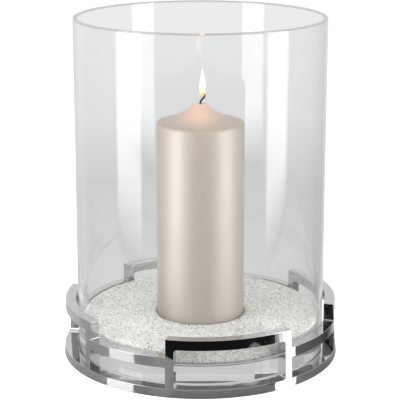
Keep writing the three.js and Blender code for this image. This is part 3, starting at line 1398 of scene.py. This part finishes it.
@dataclass
class SandBed:
    """The bed of sand, with loose grains on its top and against the glass."""

    grain_size: float = 0.00086
    grain_lengths: Pair = (0.62, 1.18)
    grain_shades: Pair = (0.86, 1.08)
    top_grains: int = 15500
    top_shake: float = 0.4
    top_sunk: float = 0.3
    top_pile: float = 0.9
    top_gaps: Pair = (0.0004, 0.0006)
    wall_grains: int = 5600
    wall_shake: float = 0.3
    wall_gap: float = 0.0008
    wall_depth: float = 0.0004
    wall_ends: Pair = (0.0022, 0.0004)
    dip_depth: float = 0.0016
    dip_mean: float = 0.5
    waves: tuple[tuple[int, float, float], ...] = ((5, 4.0, 0.3), (9, -7.0, 0.18))
    heel_radius: float = 0.0055
    bed_edge: float = 0.0004
    side_gap: float = 0.0004
    profile_step: float = 0.003
    patch_size: float = 0.0021
    patch_shades: Pair = (0.74, 1.10)
    patch_count: int = 4096
    patch_order: tuple[int, int, int] = (73, 1291, 257)
    moat_depth: float = 0.0014
    moat_width: float = 0.0012
    # Painted contact shade on the grains round the candle's foot.
    candle_foot_painted_shade: float = 0.8
    # Painted shade: the wall grains darken towards the bottom, where the ring keeps light off the sand.
    bottom_painted_shade: float = 0.28
    bottom_shade_low: float = 0.0042
    bottom_shade_rise: float = 0.006
    segments: int = 180
    seed: int = 5
    bottom: float = field(init=False)
    top: float = field(init=False)
    radius: float = field(init=False)
    candle_foot: float = field(init=False)
    candle_radius: float = field(init=False)
    hole: float = field(init=False)
    tints: tuple[tuple[float, Colour], ...] = (
        (0.70, (0.97, 0.97, 0.95, 1.0)),
        (0.20, (0.91, 0.91, 0.88, 1.0)),
        (0.05, (0.72, 0.72, 0.69, 1.0)),
        (0.015, (0.38, 0.38, 0.37, 1.0)),
        (0.035, (0.90, 0.84, 0.76, 1.0)),
    )

    def __post_init__(self) -> None:
        """Reads the bed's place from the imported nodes."""
        low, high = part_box("sand_fill")
        self.bottom, self.top, self.radius = low.z, high.z, high.x
        candle_low, candle_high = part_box("candle_body")
        self.candle_foot, self.candle_radius = candle_low.z, candle_high.x
        self.hole = self.candle_radius + self.side_gap

    def level(self, x: Array, y: Array) -> Array:
        """Height of the sand.

        It lies below its edges by the dip's depth times the sine of pi s, where s is the share of the
        way from the candle to the glass, times the mean dip plus each wave's share of the sine of its
        count times the angle plus its turn times s. A moat runs round the candle.

        Args:
            x: Place along the X axis.
            y: Place along the Y axis.

        Returns:
            The height there.
        """
        share = np.clip((np.hypot(x, y) - self.hole) / (self.radius - self.hole), 0, 1)
        angle = np.arctan2(y, x)
        waves = sum(part * np.sin(count * angle + turn * share) for count, turn, part in self.waves)
        dip = self.dip_depth * np.sin(np.pi * share) * (self.dip_mean + waves)
        return self.top - dip - self.moat_depth * self.near_candle(x, y)

    def near_candle(self, x: Array, y: Array) -> Array:
        """How close a place is to the candle: e to minus its distance over the width of the moat."""
        return np.exp(-np.clip(np.hypot(x, y) - self.hole, 0, None) / self.moat_width)

    def bed(self) -> Surface:
        """The packed sand: turned, with its upper face following the level.

        Returns:
            The surface.
        """
        top, side = self.top - self.grain_size, self.radius - self.side_gap
        under, print_floor = self.bottom + self.side_gap, self.candle_foot - self.side_gap
        corners = [
            (0.0, under, 0.0),
            (side, under, self.heel_radius),
            (side, top, self.bed_edge),
            (self.hole, top, self.bed_edge),
            (self.hole, print_floor, self.bed_edge),
            (0.0, print_floor, 0.0),
        ]
        surface = turned(rounded_outline(corners).stretched(self.profile_step), self.segments)
        x, y, z = surface.vertices.T
        share = np.clip((z - self.candle_foot) / (top - self.candle_foot), 0, 1)
        lift = (self.level(x, y) - self.top) * share
        return Surface(np.stack([x, y, z + lift], axis=1), surface.faces)

    def places(self, chance: np.random.Generator) -> Array:
        """Places of the grains: spirals of equal spacing over the top and up the wall, each shaken a little.

        Args:
            chance: The source of the shakes.

        Returns:
            One place for each grain.
        """
        golden = np.pi * (3 - math.sqrt(5))
        inner, outer = self.candle_radius + self.top_gaps[0], self.radius - self.top_gaps[1]
        number = np.arange(self.top_grains)
        radius = np.sqrt(inner**2 + (outer**2 - inner**2) * (number + 0.5) / self.top_grains)
        turn = number * golden
        shake = chance.normal(0, self.grain_size * self.top_shake, (3, self.top_grains))
        x, y = radius * np.cos(turn) + shake[0], radius * np.sin(turn) + shake[1]
        reach = np.hypot(x, y)
        kept = np.clip(reach, inner, outer) / reach
        x, y = x * kept, y * kept
        z = self.level(x, y) - self.grain_size * self.top_sunk + np.abs(shake[2]) * self.top_pile
        top = np.stack([x, y, z], axis=1)
        number = np.arange(self.wall_grains)
        turn = number * golden
        low, high = self.bottom + self.wall_ends[0], self.top - self.wall_ends[1]
        rise = low + (high - low) * (number + 0.5) / self.wall_grains
        curve = np.clip((self.heel_radius - (rise - self.bottom)) / self.heel_radius, 0, 1)
        near = self.radius - self.wall_gap - self.heel_radius * (1 - np.sqrt(1 - curve**2))
        near = near - chance.uniform(0, self.wall_depth, self.wall_grains)
        rise = rise + chance.normal(0, self.grain_size * self.wall_shake, self.wall_grains)
        wall = np.stack([near * np.cos(turn), near * np.sin(turn), rise], axis=1)
        return np.vstack([top, wall])

    def shade(self, places: Array) -> Array:
        """How bright the grains are painted: darker towards the bottom, where the ring keeps light off the sand, and
        by the candle's foot, a painted contact shade.

        Args:
            places: Their places.

        Returns:
            A share of full brightness for each.
        """
        # Painted shade low on the wall, and painted contact shade by the candle's foot.
        rise = np.clip((places[:, 2] - self.bottom - self.bottom_shade_low) / self.bottom_shade_rise, 0, 1)
        height_shade = self.bottom_painted_shade + (1 - self.bottom_painted_shade) * rise * rise * (3 - 2 * rise)
        return height_shade * (1 - self.candle_foot_painted_shade * self.near_candle(places[:, 0], places[:, 1]))

    def grains(self) -> tuple[Surface, Array]:
        """The loose grains: an eight-faced pebble at each place, turned and stretched at random.

        Each is six points on three crossing axes. The axes are the rows of a random rotation, made by
        the QR split of a random matrix, times three random lengths.

        Returns:
            The surface and the tint of each of its points, with the painted shade in it.
        """
        chance = np.random.default_rng(self.seed)
        places = self.places(chance)
        count = len(places)
        axes, _ = np.linalg.qr(chance.normal(size=(count, 3, 3)))
        lengths = self.grain_size * chance.uniform(*self.grain_lengths, (count, 3))
        arms = axes * lengths[..., None]
        points = np.concatenate([arms, -arms], axis=1) + places[:, None]
        flip = np.linalg.det(axes) < 0
        each = points.shape[1]
        corners = np.array([[0, 1, 2], [1, 3, 2], [3, 4, 2], [4, 0, 2], [1, 0, 5], [3, 1, 5], [4, 3, 5], [0, 4, 5]])
        chosen = np.where(flip[:, None, None], corners[None, :, ::-1], corners[None])
        faces = chosen + each * np.arange(count)[:, None, None]
        shares = np.array([share for share, _ in self.tints])
        kinds = chance.choice(len(self.tints), count, p=shares / shares.sum())
        colours = np.array([tint for _, tint in self.tints])[kinds]
        patch = chance.uniform(*self.patch_shades, self.patch_count)
        cell = np.floor(places / self.patch_size).astype(int) @ np.array(self.patch_order)
        # Random tone, times the painted shade low on the wall and by the candle's foot.
        shades = chance.uniform(*self.grain_shades, count) * patch[cell % len(patch)] * self.shade(places)
        colours[:, :3] *= shades[:, None]
        surface = Surface(points.reshape(-1, 3), faces.reshape(-1, 3).tolist())
        return surface, np.repeat(np.clip(colours, 0, 1), each, axis=0)

    def build(self, sand: WhiteSand, shared: SharedEffects) -> None:
        """Builds and dresses the sand.

        Args:
            sand: The finish.
            shared: The node groups.
        """
        bed = add_piece("sand_bed", self.bed())
        install(bed, Body.GLASS, sand.packed(shared), ["sand_fill"])
        surface, colours = self.grains()
        grains = add_piece("sand_grains", surface, smooth=False)
        # The mesh colours carry each grain's tint and its painted shade.
        tint = grains.data.color_attributes.new(name="grain_tint_and_shade", type="FLOAT_COLOR", domain="POINT")
        tint.data.foreach_set("color", colours.astype(np.float32).ravel())
        install(grains, Body.GLASS, sand.grains(shared))


# The candle


@dataclass
class PillarCandle:
    """The candle with its shoulder, hollowed cone, curled wick and flame."""

    cone_height: float = 0.016
    shoulder: float = 0.0032
    tip_radius: float = 0.0062
    tip_edge: float = 0.0012
    tip_start: Pair = (0.35, -0.55)
    pool_radius: float = 0.0032
    pool_depth: float = 0.0006
    pool_floor: float = 0.6
    pool_edges: Pair = (0.0006, 0.0005)
    hollow_radius: float = 0.0156
    hollow_rise: float = 0.0051
    hollow_steps: int = 59
    foot_edge: float = 0.0008
    arc_steps: int = 12
    tip_steps: int = 8
    profile_step: float = 0.004
    segments: int = 240
    wick_radius: float = 0.00085
    wick_sunk: float = 0.004
    wick_lean: float = 0.0036
    wick_pulls: tuple[Pair, ...] = ((0.0, 0.5), (2.0, 0.5), (0.45, 1.0))
    wick_angle: float = math.radians(-12.7)
    wick_steps: int = 39
    wick_root_steps: int = 7
    wick_tip_steps: int = 3
    wick_sides: int = 24
    wick_tip: float = 0.55
    wick_twist: float = 4.5 * math.pi
    strands: int = 3
    strand_depth: float = 0.16
    flame_lean: float = 0.0019
    flame_foot: float = 0.0058
    flame_height: float = 0.0262
    flame_radius: float = 0.0033
    flame_shape: Place = (0.62, 0.8, 0.25)
    flame_steps: int = 59
    flame_segments: int = 48
    bottom: float = field(init=False)
    top: float = field(init=False)
    radius: float = field(init=False)
    wick_top: float = field(init=False)

    def __post_init__(self) -> None:
        """Reads the candle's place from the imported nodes."""
        low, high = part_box("candle_body")
        self.bottom, self.top, self.radius = low.z, high.z, high.x
        self.wick_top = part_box("candle_wick")[1].z

    def body(self) -> Surface:
        """The candle's body, turned.

        From the shoulder to the tip the profile is a curve through three points p, q, r: at share t it
        is (1 - t)^2 p + 2 t (1 - t) q + t^2 r, and its normal is its direction turned a quarter.

        Returns:
            The surface.
        """
        base = self.top - self.cone_height
        floor = self.top - self.pool_depth
        lower_corners = [
            (0.0, self.bottom, 0.0),
            (self.radius, self.bottom, self.foot_edge),
            (self.radius, base, self.shoulder),
            (self.radius - 2 * self.shoulder, base, 0.0),
        ]
        lower = rounded_outline(lower_corners, steps=self.arc_steps)
        start = np.array([self.radius - self.shoulder, base])
        pull = np.array([self.hollow_radius, base + self.hollow_rise])
        end = np.array([self.tip_radius, self.top]) + self.tip_edge * np.array(self.tip_start)
        t = np.linspace(0, 1, self.hollow_steps + 1)[1:, None]
        curve = (1 - t) ** 2 * start + 2 * t * (1 - t) * pull + t**2 * end
        direction = unit(2 * (1 - t) * (pull - start) + 2 * t * (end - pull))
        facing = np.stack([direction[:, 1], -direction[:, 0]], axis=1)
        upper_corners = [
            (float(end[0]), float(end[1]), 0.0),
            (self.tip_radius, self.top, self.tip_edge),
            (self.pool_radius, self.top, self.pool_edges[0]),
            (self.pool_radius * self.pool_floor, floor, self.pool_edges[1]),
            (0.0, floor, 0.0),
        ]
        upper = rounded_outline(upper_corners, steps=self.tip_steps)
        points = np.vstack([lower.points[:-1], curve, upper.points[1:]])
        normals = np.vstack([lower.normals[:-1], facing, upper.normals[1:]])
        return turned(Outline(points, normals).stretched(self.profile_step), self.segments)

    def leaning(self) -> Array:
        """The direction in which the wick and the flame lean, as a unit vector."""
        return np.array([math.cos(self.wick_angle), math.sin(self.wick_angle), 0.0])

    def wick(self) -> Surface:
        """The wick: a lobed tube from inside the wax that leans over and curls back.

        Above the wax it follows a curve through four points a, b, c, d: at share t it is
        (1 - t)^3 a + 3 t (1 - t)^2 b + 3 t^2 (1 - t) c + t^3 d. Its radius falls at its tip.

        Returns:
            The surface.
        """
        rise = self.wick_top - self.top - self.wick_radius
        lean = self.leaning() * self.wick_lean
        a = np.array([0.0, 0.0, self.top])
        b, c, d = (a + lean * out + [0.0, 0.0, rise * up] for out, up in self.wick_pulls)
        t = np.linspace(0, 1, self.wick_steps + 1)[:, None]
        curl = (1 - t) ** 3 * a + 3 * t * (1 - t) ** 2 * b + 3 * t**2 * (1 - t) * c + t**3 * d
        start = a - [0.0, 0.0, self.pool_depth + self.wick_sunk]
        path = np.vstack([np.linspace(start, a, self.wick_root_steps + 1)[:-1], curl])
        ends = np.clip(np.arange(len(path))[::-1] / self.wick_tip_steps, 0, 1)
        radius = self.wick_radius * (self.wick_tip + (1 - self.wick_tip) * np.sqrt(ends))
        return tube(path, radius, self.wick_sides, self.wick_twist, self.strands, self.strand_depth)

    def flame(self, layer: FlameLight) -> Surface:
        """A layer of the flame.

        Its radius at share s of its height is the full one times sin(pi s^a)^b (1 - s)^c, with a, b
        and c as flame_shape gives them.

        Args:
            layer: The layer.

        Returns:
            The turned surface, set over the wick.
        """
        foot = self.top + self.flame_foot - layer.grow
        height = self.flame_height + 2 * layer.grow
        share = np.linspace(0, 1, self.flame_steps + 1)
        widest, fullness, taper = self.flame_shape
        wide = np.sin(np.pi * share**widest) ** fullness * (1 - share) ** taper
        wide = wide / wide.max() * self.flame_radius * layer.width
        wide[0] = wide[-1] = 0.0
        points = np.stack([wide, foot + share * height], axis=1)
        along = np.gradient(points, axis=0)
        facing = unit(np.stack([along[:, 1], -along[:, 0]], axis=1))
        surface = turned(Outline(points, facing), self.flame_segments)
        return Surface(surface.vertices + self.flame_lean * self.leaning(), surface.faces, surface.normals)

    def build(self, shared: SharedEffects) -> None:
        """Builds and dresses the candle, its wick and its flame.

        Args:
            shared: The node groups.
        """
        lacquer = PearlWax().material(shared, (0.0, 0.0, self.top))
        install(add_piece("pillar_candle", self.body()), Body.CANDLE, lacquer, ["candle_body"])
        charred = CharredWick().material(self.top, self.wick_top)
        install(add_piece("wick", self.wick()), Body.CANDLE, charred, ["candle_wick"])
        foot = self.top + self.flame_foot
        for layer in (FLAME_CORE, FLAME_MANTLE):
            piece = add_piece(layer.piece, self.flame(layer))
            piece.visible_shadow = False
            light = layer.material(foot - layer.grow, foot + self.flame_height + layer.grow)
            install(piece, Body.CANDLE, light)


# The studio


@dataclass(frozen=True)
class SoftLamp:
    """A round soft lamp that lights, and isn't seen in mirrors or glass unless it is for sheen.

    Its place is given to the right of the camera's line, away from the camera and up. It is tilted up
    from facing straight down, and turned against the camera's direction.
    """

    name: str
    spot: Place
    tilt: float
    size: float
    power: float
    turn: float = 0.0
    sheen: bool = False


def level_corners(x: Pair, y: Pair, height: float) -> list[Place]:
    """The corners of a level sheet between two places each way."""
    return [(x[0], y[0], height), (x[1], y[0], height), (x[1], y[1], height), (x[0], y[1], height)]


@dataclass
class Studio:
    """Floor, soft lights, world and camera. Nothing of it belongs to the holder.

    Places are given as the camera sees them: to its right, away from it, and up.
    """

    camera_angle: float = math.radians(-12.7)
    camera_distance: float = 1.2341
    camera_height: float = 0.4733
    camera_pitch: float = math.radians(15.03)
    camera_yaw: float = 0.0003
    lens: float = 125.95
    sensor: float = 36.0
    floor_reach: float = 12.0
    floor_tone: float = 0.86
    floor_roughness: float = 0.9
    floor_light: float = 0.62
    table_x: Pair = (-0.235, 0.155)
    table_y: Pair = (-0.222, 0.612)
    table_height: float = 0.0002
    table_roughness: float = 0.1
    # Painted shade on the table: darker in front of and beside the ring than behind it.
    table_painted_shades: Tones = ((-0.20, 0.19), (-0.12, 0.21), (-0.05, 0.20), (0.085, 0.20), (0.115, 0.18))
    table_back_tone: float = 0.38
    table_blend: float = 0.06
    # Painted light: a glow on the table where it is seen through the glass.
    table_painted_glow: float = 0.15
    cards: tuple[tuple[str, Pair, Pair], ...] = (
        ("left_soft_light", (-0.284, -0.265), (-0.438, -0.148)),
        ("right_soft_light", (0.301, -0.228), (0.539, -0.132)),
    )
    card_strength: float = 4.0
    card_ends: Pair = (0.012, 0.62)
    card_feather: float = 0.05
    card_dim: Pair = (0.028, 0.106)
    card_deep: Pair = (2.0, 2.5)
    card_deep_share: float = 0.15
    card_glass_share: float = 0.5
    kicker_ends: tuple[Pair, Pair] = ((0.0784, -0.1297), (0.108, -0.0964))
    kicker_high: float = 0.045
    kicker_rise: Pair = (0.022, 0.032)
    kicker_begin: Pair = (0.012, 0.0115)
    kicker_width: Pair = (0.004, 0.021)
    kicker_streaks: Place = (260.0, 260.0, 40.0)
    kicker_detail: float = 2.0
    kicker_shake: float = 1.2
    kicker_strength: float = 1.6
    patch_corners: tuple[Pair, ...] = ((0.0655, -0.1090), (0.087, -0.120), (0.108, -0.0964), (0.0835, -0.0960))
    patch_height: float = 0.0004
    overhead: SoftLamp = SoftLamp(
        name="overhead_soft_light", spot=(-0.25, 0.1, 1.5), tilt=0.0, size=1.1, power=15.5
    )
    front: SoftLamp = SoftLamp(
        name="front_soft_light", spot=(0.0, -1.0, 0.5), tilt=math.radians(66), size=0.6, power=4.0
    )
    sheen_lights: tuple[tuple[str, int, float, float], ...] = (
        ("left_sheen_light", -1, math.radians(61), 1.2),
        ("right_sheen_light", 1, math.radians(64), 1.0),
    )
    sheen_reach: float = 0.45
    sheen_height: float = 0.01
    sheen_size: float = 0.28
    backdrop_tones: Tones = (
        (-0.32, 0.60),
        (-0.25, 0.63),
        (-0.20, 0.79),
        (-0.15, 0.84),
        (-0.10, 0.86),
        (0.0, 0.86),
        (0.1, 0.70),
    )
    deep_tone: float = 0.6
    studio_tones: Tones = (
        (0.0, 0.008),
        (0.16, 0.01),
        (0.19, 0.30),
        (0.33, 0.42),
        (0.37, 0.75),
        (0.56, 0.75),
        (0.60, 0.25),
        (0.63, 0.05),
        (0.67, 0.10),
        (0.80, 0.16),
        (0.83, 0.01),
        (1.0, 0.008),
    )
    studio_above: Tones = ((0.0, 0.0), (0.064, 0.0), (0.070, 0.36), (0.10, 0.36), (0.12, 0.0), (1.0, 0.0))
    above_rise: Pair = (0.15, 0.30)
    sky: float = 0.62
    sky_rise: float = 0.1
    fill: float = 0.42

    def aligned(self, x: float, y: float) -> Pair:
        """Turns a place seen from the camera, to its right and away from it, into the part's frame."""
        c, s = math.cos(self.camera_angle), math.sin(self.camera_angle)
        return (c * x - s * y, s * x + c * y)

    def camera(self) -> None:
        """Sets the camera up."""
        data = bpy.data.cameras.new("camera")
        data.lens, data.sensor_width = self.lens, self.sensor
        view = bpy.data.objects.new("camera", data)
        view.location = (*self.aligned(0.0, -self.camera_distance), self.camera_height)
        view.rotation_euler = (math.pi / 2 - self.camera_pitch, 0.0, self.camera_angle + self.camera_yaw)
        bpy.context.scene.collection.objects.link(view)
        bpy.context.scene.camera = view

    def sheet(self, name: str, corners: Sequence[Place], unseen: str = "") -> bpy.types.Object:
        """A flat four-cornered stage piece.

        Args:
            name: Its name.
            corners: Its corners, anticlockwise from its face.
            unseen: The kinds of rays that don't see it.

        Returns:
            The piece, marked as stage.
        """
        points = np.array([(*self.aligned(x, y), z) for x, y, z in corners])
        piece = add_piece(name, Surface(points, [[0, 1, 2, 3]]), smooth=False)
        for kind in unseen.split():
            setattr(piece, f"visible_{kind}", False)
        return piece

    def upright(self, name: str, ends: Sequence[Pair], low: float, high: float, unseen: str) -> bpy.types.Object:
        """An upright stage piece from one end to another, as sheet makes it."""
        near, far = ends
        return self.sheet(name, [(*near, low), (*far, low), (*far, high), (*near, high)], unseen)

    def floor(self) -> None:
        """A white floor for the camera and for bounced light."""
        reach = (-self.floor_reach, self.floor_reach)
        floor = self.sheet("floor", level_corners(reach, reach, 0.0), "glossy transmission")
        white = {"Base Color": grey(self.floor_tone), "Roughness": self.floor_roughness}
        started = Started.new("white_floor", white)
        seen = started.place("LightPath").outputs["Is Camera Ray"]
        strength = started.math("MULTIPLY", seen, self.floor_light)
        lit = started.place("Emission", {"Color": grey(1.0), "Strength": strength})
        both = started.place("AddShader", {0: started.shader.outputs[0], 1: lit.outputs[0]})
        started.connect(started.output, {"Surface": both.outputs[0]})
        floor.data.materials.append(started.material)

    def table(self) -> None:
        """The table top, which only the metal and the glass see, with painted shade and a painted glow."""
        corners = level_corners(self.table_x, self.table_y, self.table_height)
        table = self.sheet("table_top", corners, "camera diffuse shadow")
        laminate = Started.new("table_painted_light", {"Roughness": self.table_roughness})
        across, away = (
            laminate.vector("DOT_PRODUCT", laminate.where, (*self.aligned(*axis), 0.0))
            for axis in ((1.0, 0.0), (0.0, 1.0))
        )
        # Painted shade in front of and beside the ring.
        front_tone = laminate.toned(across, self.table_painted_shades)
        share = laminate.spread(away, (-self.table_blend, self.table_blend))
        laminate.feed("Base Color", laminate.mix(share, front_tone, grey(self.table_back_tone)))
        # A painted glow where the table is seen through the glass.
        through = laminate.place("LightPath").outputs["Is Transmission Ray"]
        laminate.feed("Emission Color", grey(1.0))
        laminate.feed("Emission Strength", laminate.math("MULTIPLY", through, self.table_painted_glow))
        table.data.materials.append(laminate.material)

    def card(self, name: str, near: Pair, far: Pair) -> None:
        """An upright soft light whose lower end fades out, slower on the first mirroring.

        It is dimmed over card_deep mirrorings, of which the glass counts card_glass_share, and it is
        unseen straight through the glass.

        Args:
            name: Its name.
            near: The edge closer to the camera's line.
            far: The other edge.
        """
        low, high = self.card_ends
        card = self.upright(name, (near, far), low, high, "camera shadow")
        material = bpy.data.materials.new(name)
        nodes = Wiring.emptied(material)
        path = nodes.place("LightPath").outputs
        height = nodes.height(nodes.place("TexCoord").outputs["Object"])
        full = (0.0, self.card_strength)
        fade = nodes.spread(height, (low, low + self.card_feather), full, smooth=True)
        slow = nodes.spread(height, self.card_dim, full)
        first = nodes.math("LESS_THAN", path["Glossy Depth"], Past.ONE)
        level = nodes.place("Mix", {"Factor": first, "A": fade, "B": slow}).outputs["Result"]
        through = nodes.math("GREATER_THAN", path["Transmission Depth"], Past.NONE)
        mirrorings = nodes.math("MULTIPLY_ADD", through, self.card_glass_share, path["Glossy Depth"])
        deep = nodes.spread(mirrorings, self.card_deep, (1.0, self.card_deep_share))
        strength = nodes.math("MULTIPLY", level, deep)
        light = nodes.place("Emission", {"Color": grey(1.0), "Strength": strength})
        bounced = nodes.math("ADD", path["Glossy Depth"], path["Diffuse Depth"])
        unbounced = nodes.math("LESS_THAN", bounced, Past.NONE)
        straight = nodes.math("MULTIPLY", unbounced, path["Is Transmission Ray"])
        unseen = nodes.place("BsdfTransparent")
        nodes.place("OutputMaterial", {"Surface": nodes.switched(straight, light, unseen)})
        card.data.materials.append(material)

    def kicker(self) -> None:
        """A low light at the front right with a streaked edge, and a bright patch on the table before it.

        Its light starts at a distance along it and grows over a width, both of which change with the
        height, and noise shakes the upper part of its edge.
        """
        unseen = "camera shadow diffuse transmission"
        near, far = (Vector((*self.aligned(*end), 0.0)) for end in self.kicker_ends)
        along = (far - near).normalized()
        kicker = self.upright("low_soft_light", self.kicker_ends[::-1], 0.0, self.kicker_high, unseen)
        dark = {"Base Color": grey(0.0), "Emission Color": grey(1.0)}
        started = Started.new("low_soft_light", dark)
        spot = started.vector("DOT_PRODUCT", started.where, along)
        gap = started.math("SUBTRACT", spot, along.dot(near))
        raised = started.spread(started.height(started.where), self.kicker_rise)
        streak = started.noise(started.scaled(started.where, self.kicker_streaks), 1.0, self.kicker_detail)
        begin = started.spread(raised, target=self.kicker_begin)
        width = started.spread(raised, target=self.kicker_width)
        shaken = started.math("MULTIPLY", started.math("SUBTRACT", streak, 0.5), self.kicker_shake)
        share = started.math("DIVIDE", started.math("SUBTRACT", gap, begin), width)
        share = started.math("ADD", share, started.math("MULTIPLY", shaken, raised))
        started.feed("Emission Strength", started.spread(share, target=(0.0, self.kicker_strength), smooth=True))
        kicker.data.materials.append(started.material)
        corners = [(x, y, self.patch_height) for x, y in self.patch_corners]
        patch = self.sheet("low_soft_patch", corners, unseen)
        plain = Started.new("low_soft_patch", {**dark, "Emission Strength": self.kicker_strength})
        patch.data.materials.append(plain.material)

    def lamp(self, lamp: SoftLamp) -> None:
        """Hangs a lamp up.

        Args:
            lamp: The lamp.
        """
        data = bpy.data.lights.new(lamp.name, "AREA")
        data.shape, data.size, data.energy = "DISK", lamp.size, lamp.power
        hung = bpy.data.objects.new(lamp.name, data)
        hung.location = (*self.aligned(lamp.spot[0], lamp.spot[1]), lamp.spot[2])
        hung.rotation_euler = (lamp.tilt, 0.0, self.camera_angle + lamp.turn)
        hung.visible_camera = hung.visible_transmission = False
        hung.visible_glossy = lamp.sheen
        data.cycles.use_multiple_importance_sampling = not lamp.sheen
        bpy.context.scene.collection.objects.link(hung)

    def lights(self) -> None:
        """Two upright soft lights beside the camera's line, a low one, two wide lamps and two for sheen."""
        for card in self.cards:
            self.card(*card)
        self.kicker()
        self.lamp(self.overhead)
        self.lamp(self.front)
        reach = self.sheen_reach
        for name, side, angle, power in self.sheen_lights:
            spot = (side * reach * math.sin(angle), -reach * math.cos(angle), self.sheen_height)
            self.lamp(SoftLamp(name, spot, math.pi / 2, self.sheen_size, power, side * angle, sheen=True))

    def world(self) -> None:
        """White for the camera, a grey backdrop through glass, a studio for mirrors and an even fill."""
        world = bpy.data.worlds.new("studio")
        bpy.context.scene.world = world
        nodes = Wiring.emptied(world)
        path = nodes.place("LightPath").outputs
        direction = nodes.place("SeparateXYZ", {0: nodes.place("TexCoord").outputs["Generated"]})
        x, y, z = (direction.outputs[i] for i in range(3))
        deep = nodes.math("GREATER_THAN", path["Glossy Depth"], Past.TWO)
        backdrop = nodes.mix(deep, nodes.toned(z, self.backdrop_tones), grey(self.deep_tone))
        turn = nodes.math("ADD", nodes.math("ARCTAN2", x, y), self.camera_angle)
        wrapped = nodes.math("WRAP", turn, math.pi, -math.pi)
        around = nodes.spread(wrapped, (-math.pi, math.pi))
        raised = nodes.spread(z, self.above_rise)
        above = nodes.toned(around, self.studio_above)
        studio = nodes.mix(raised, nodes.toned(around, self.studio_tones), above, "LIGHTEN")
        first = nodes.math("LESS_THAN", path["Glossy Depth"], Past.ONE)
        up = nodes.math("MULTIPLY", nodes.spread(z, (0.0, self.sky_rise)), first)
        studio = nodes.mix(up, studio, grey(self.sky), "LIGHTEN")
        seen = nodes.mix(path["Is Transmission Ray"], studio, backdrop)
        seen = nodes.mix(path["Is Diffuse Ray"], seen, grey(self.fill))
        seen = nodes.mix(path["Is Camera Ray"], seen, grey(1.0))
        background = nodes.place("Background", {"Color": seen, "Strength": 1.0})
        nodes.place("OutputWorld", {"Surface": background.outputs[0]})

    def build(self) -> None:
        """Builds the studio."""
        self.camera()
        self.floor()
        self.table()
        self.lights()
        self.world()
        bpy.context.scene.view_settings.view_transform = "Standard"
        LOG.info("studio built")


def main() -> None:
    """Builds the holder and the studio round it."""
    logging.basicConfig(level=logging.INFO, format="%(name)s %(message)s")
    shared = SharedEffects.build()
    OpenworkRing().build(PolishedNickel().material(shared), WoolFelt().material(shared))
    GlassCylinder().build(ClearGlass().material())
    SandBed().build(WhiteSand(), shared)
    PillarCandle().build(shared)
    Studio().build()


if __name__ == "__main__":
    main()
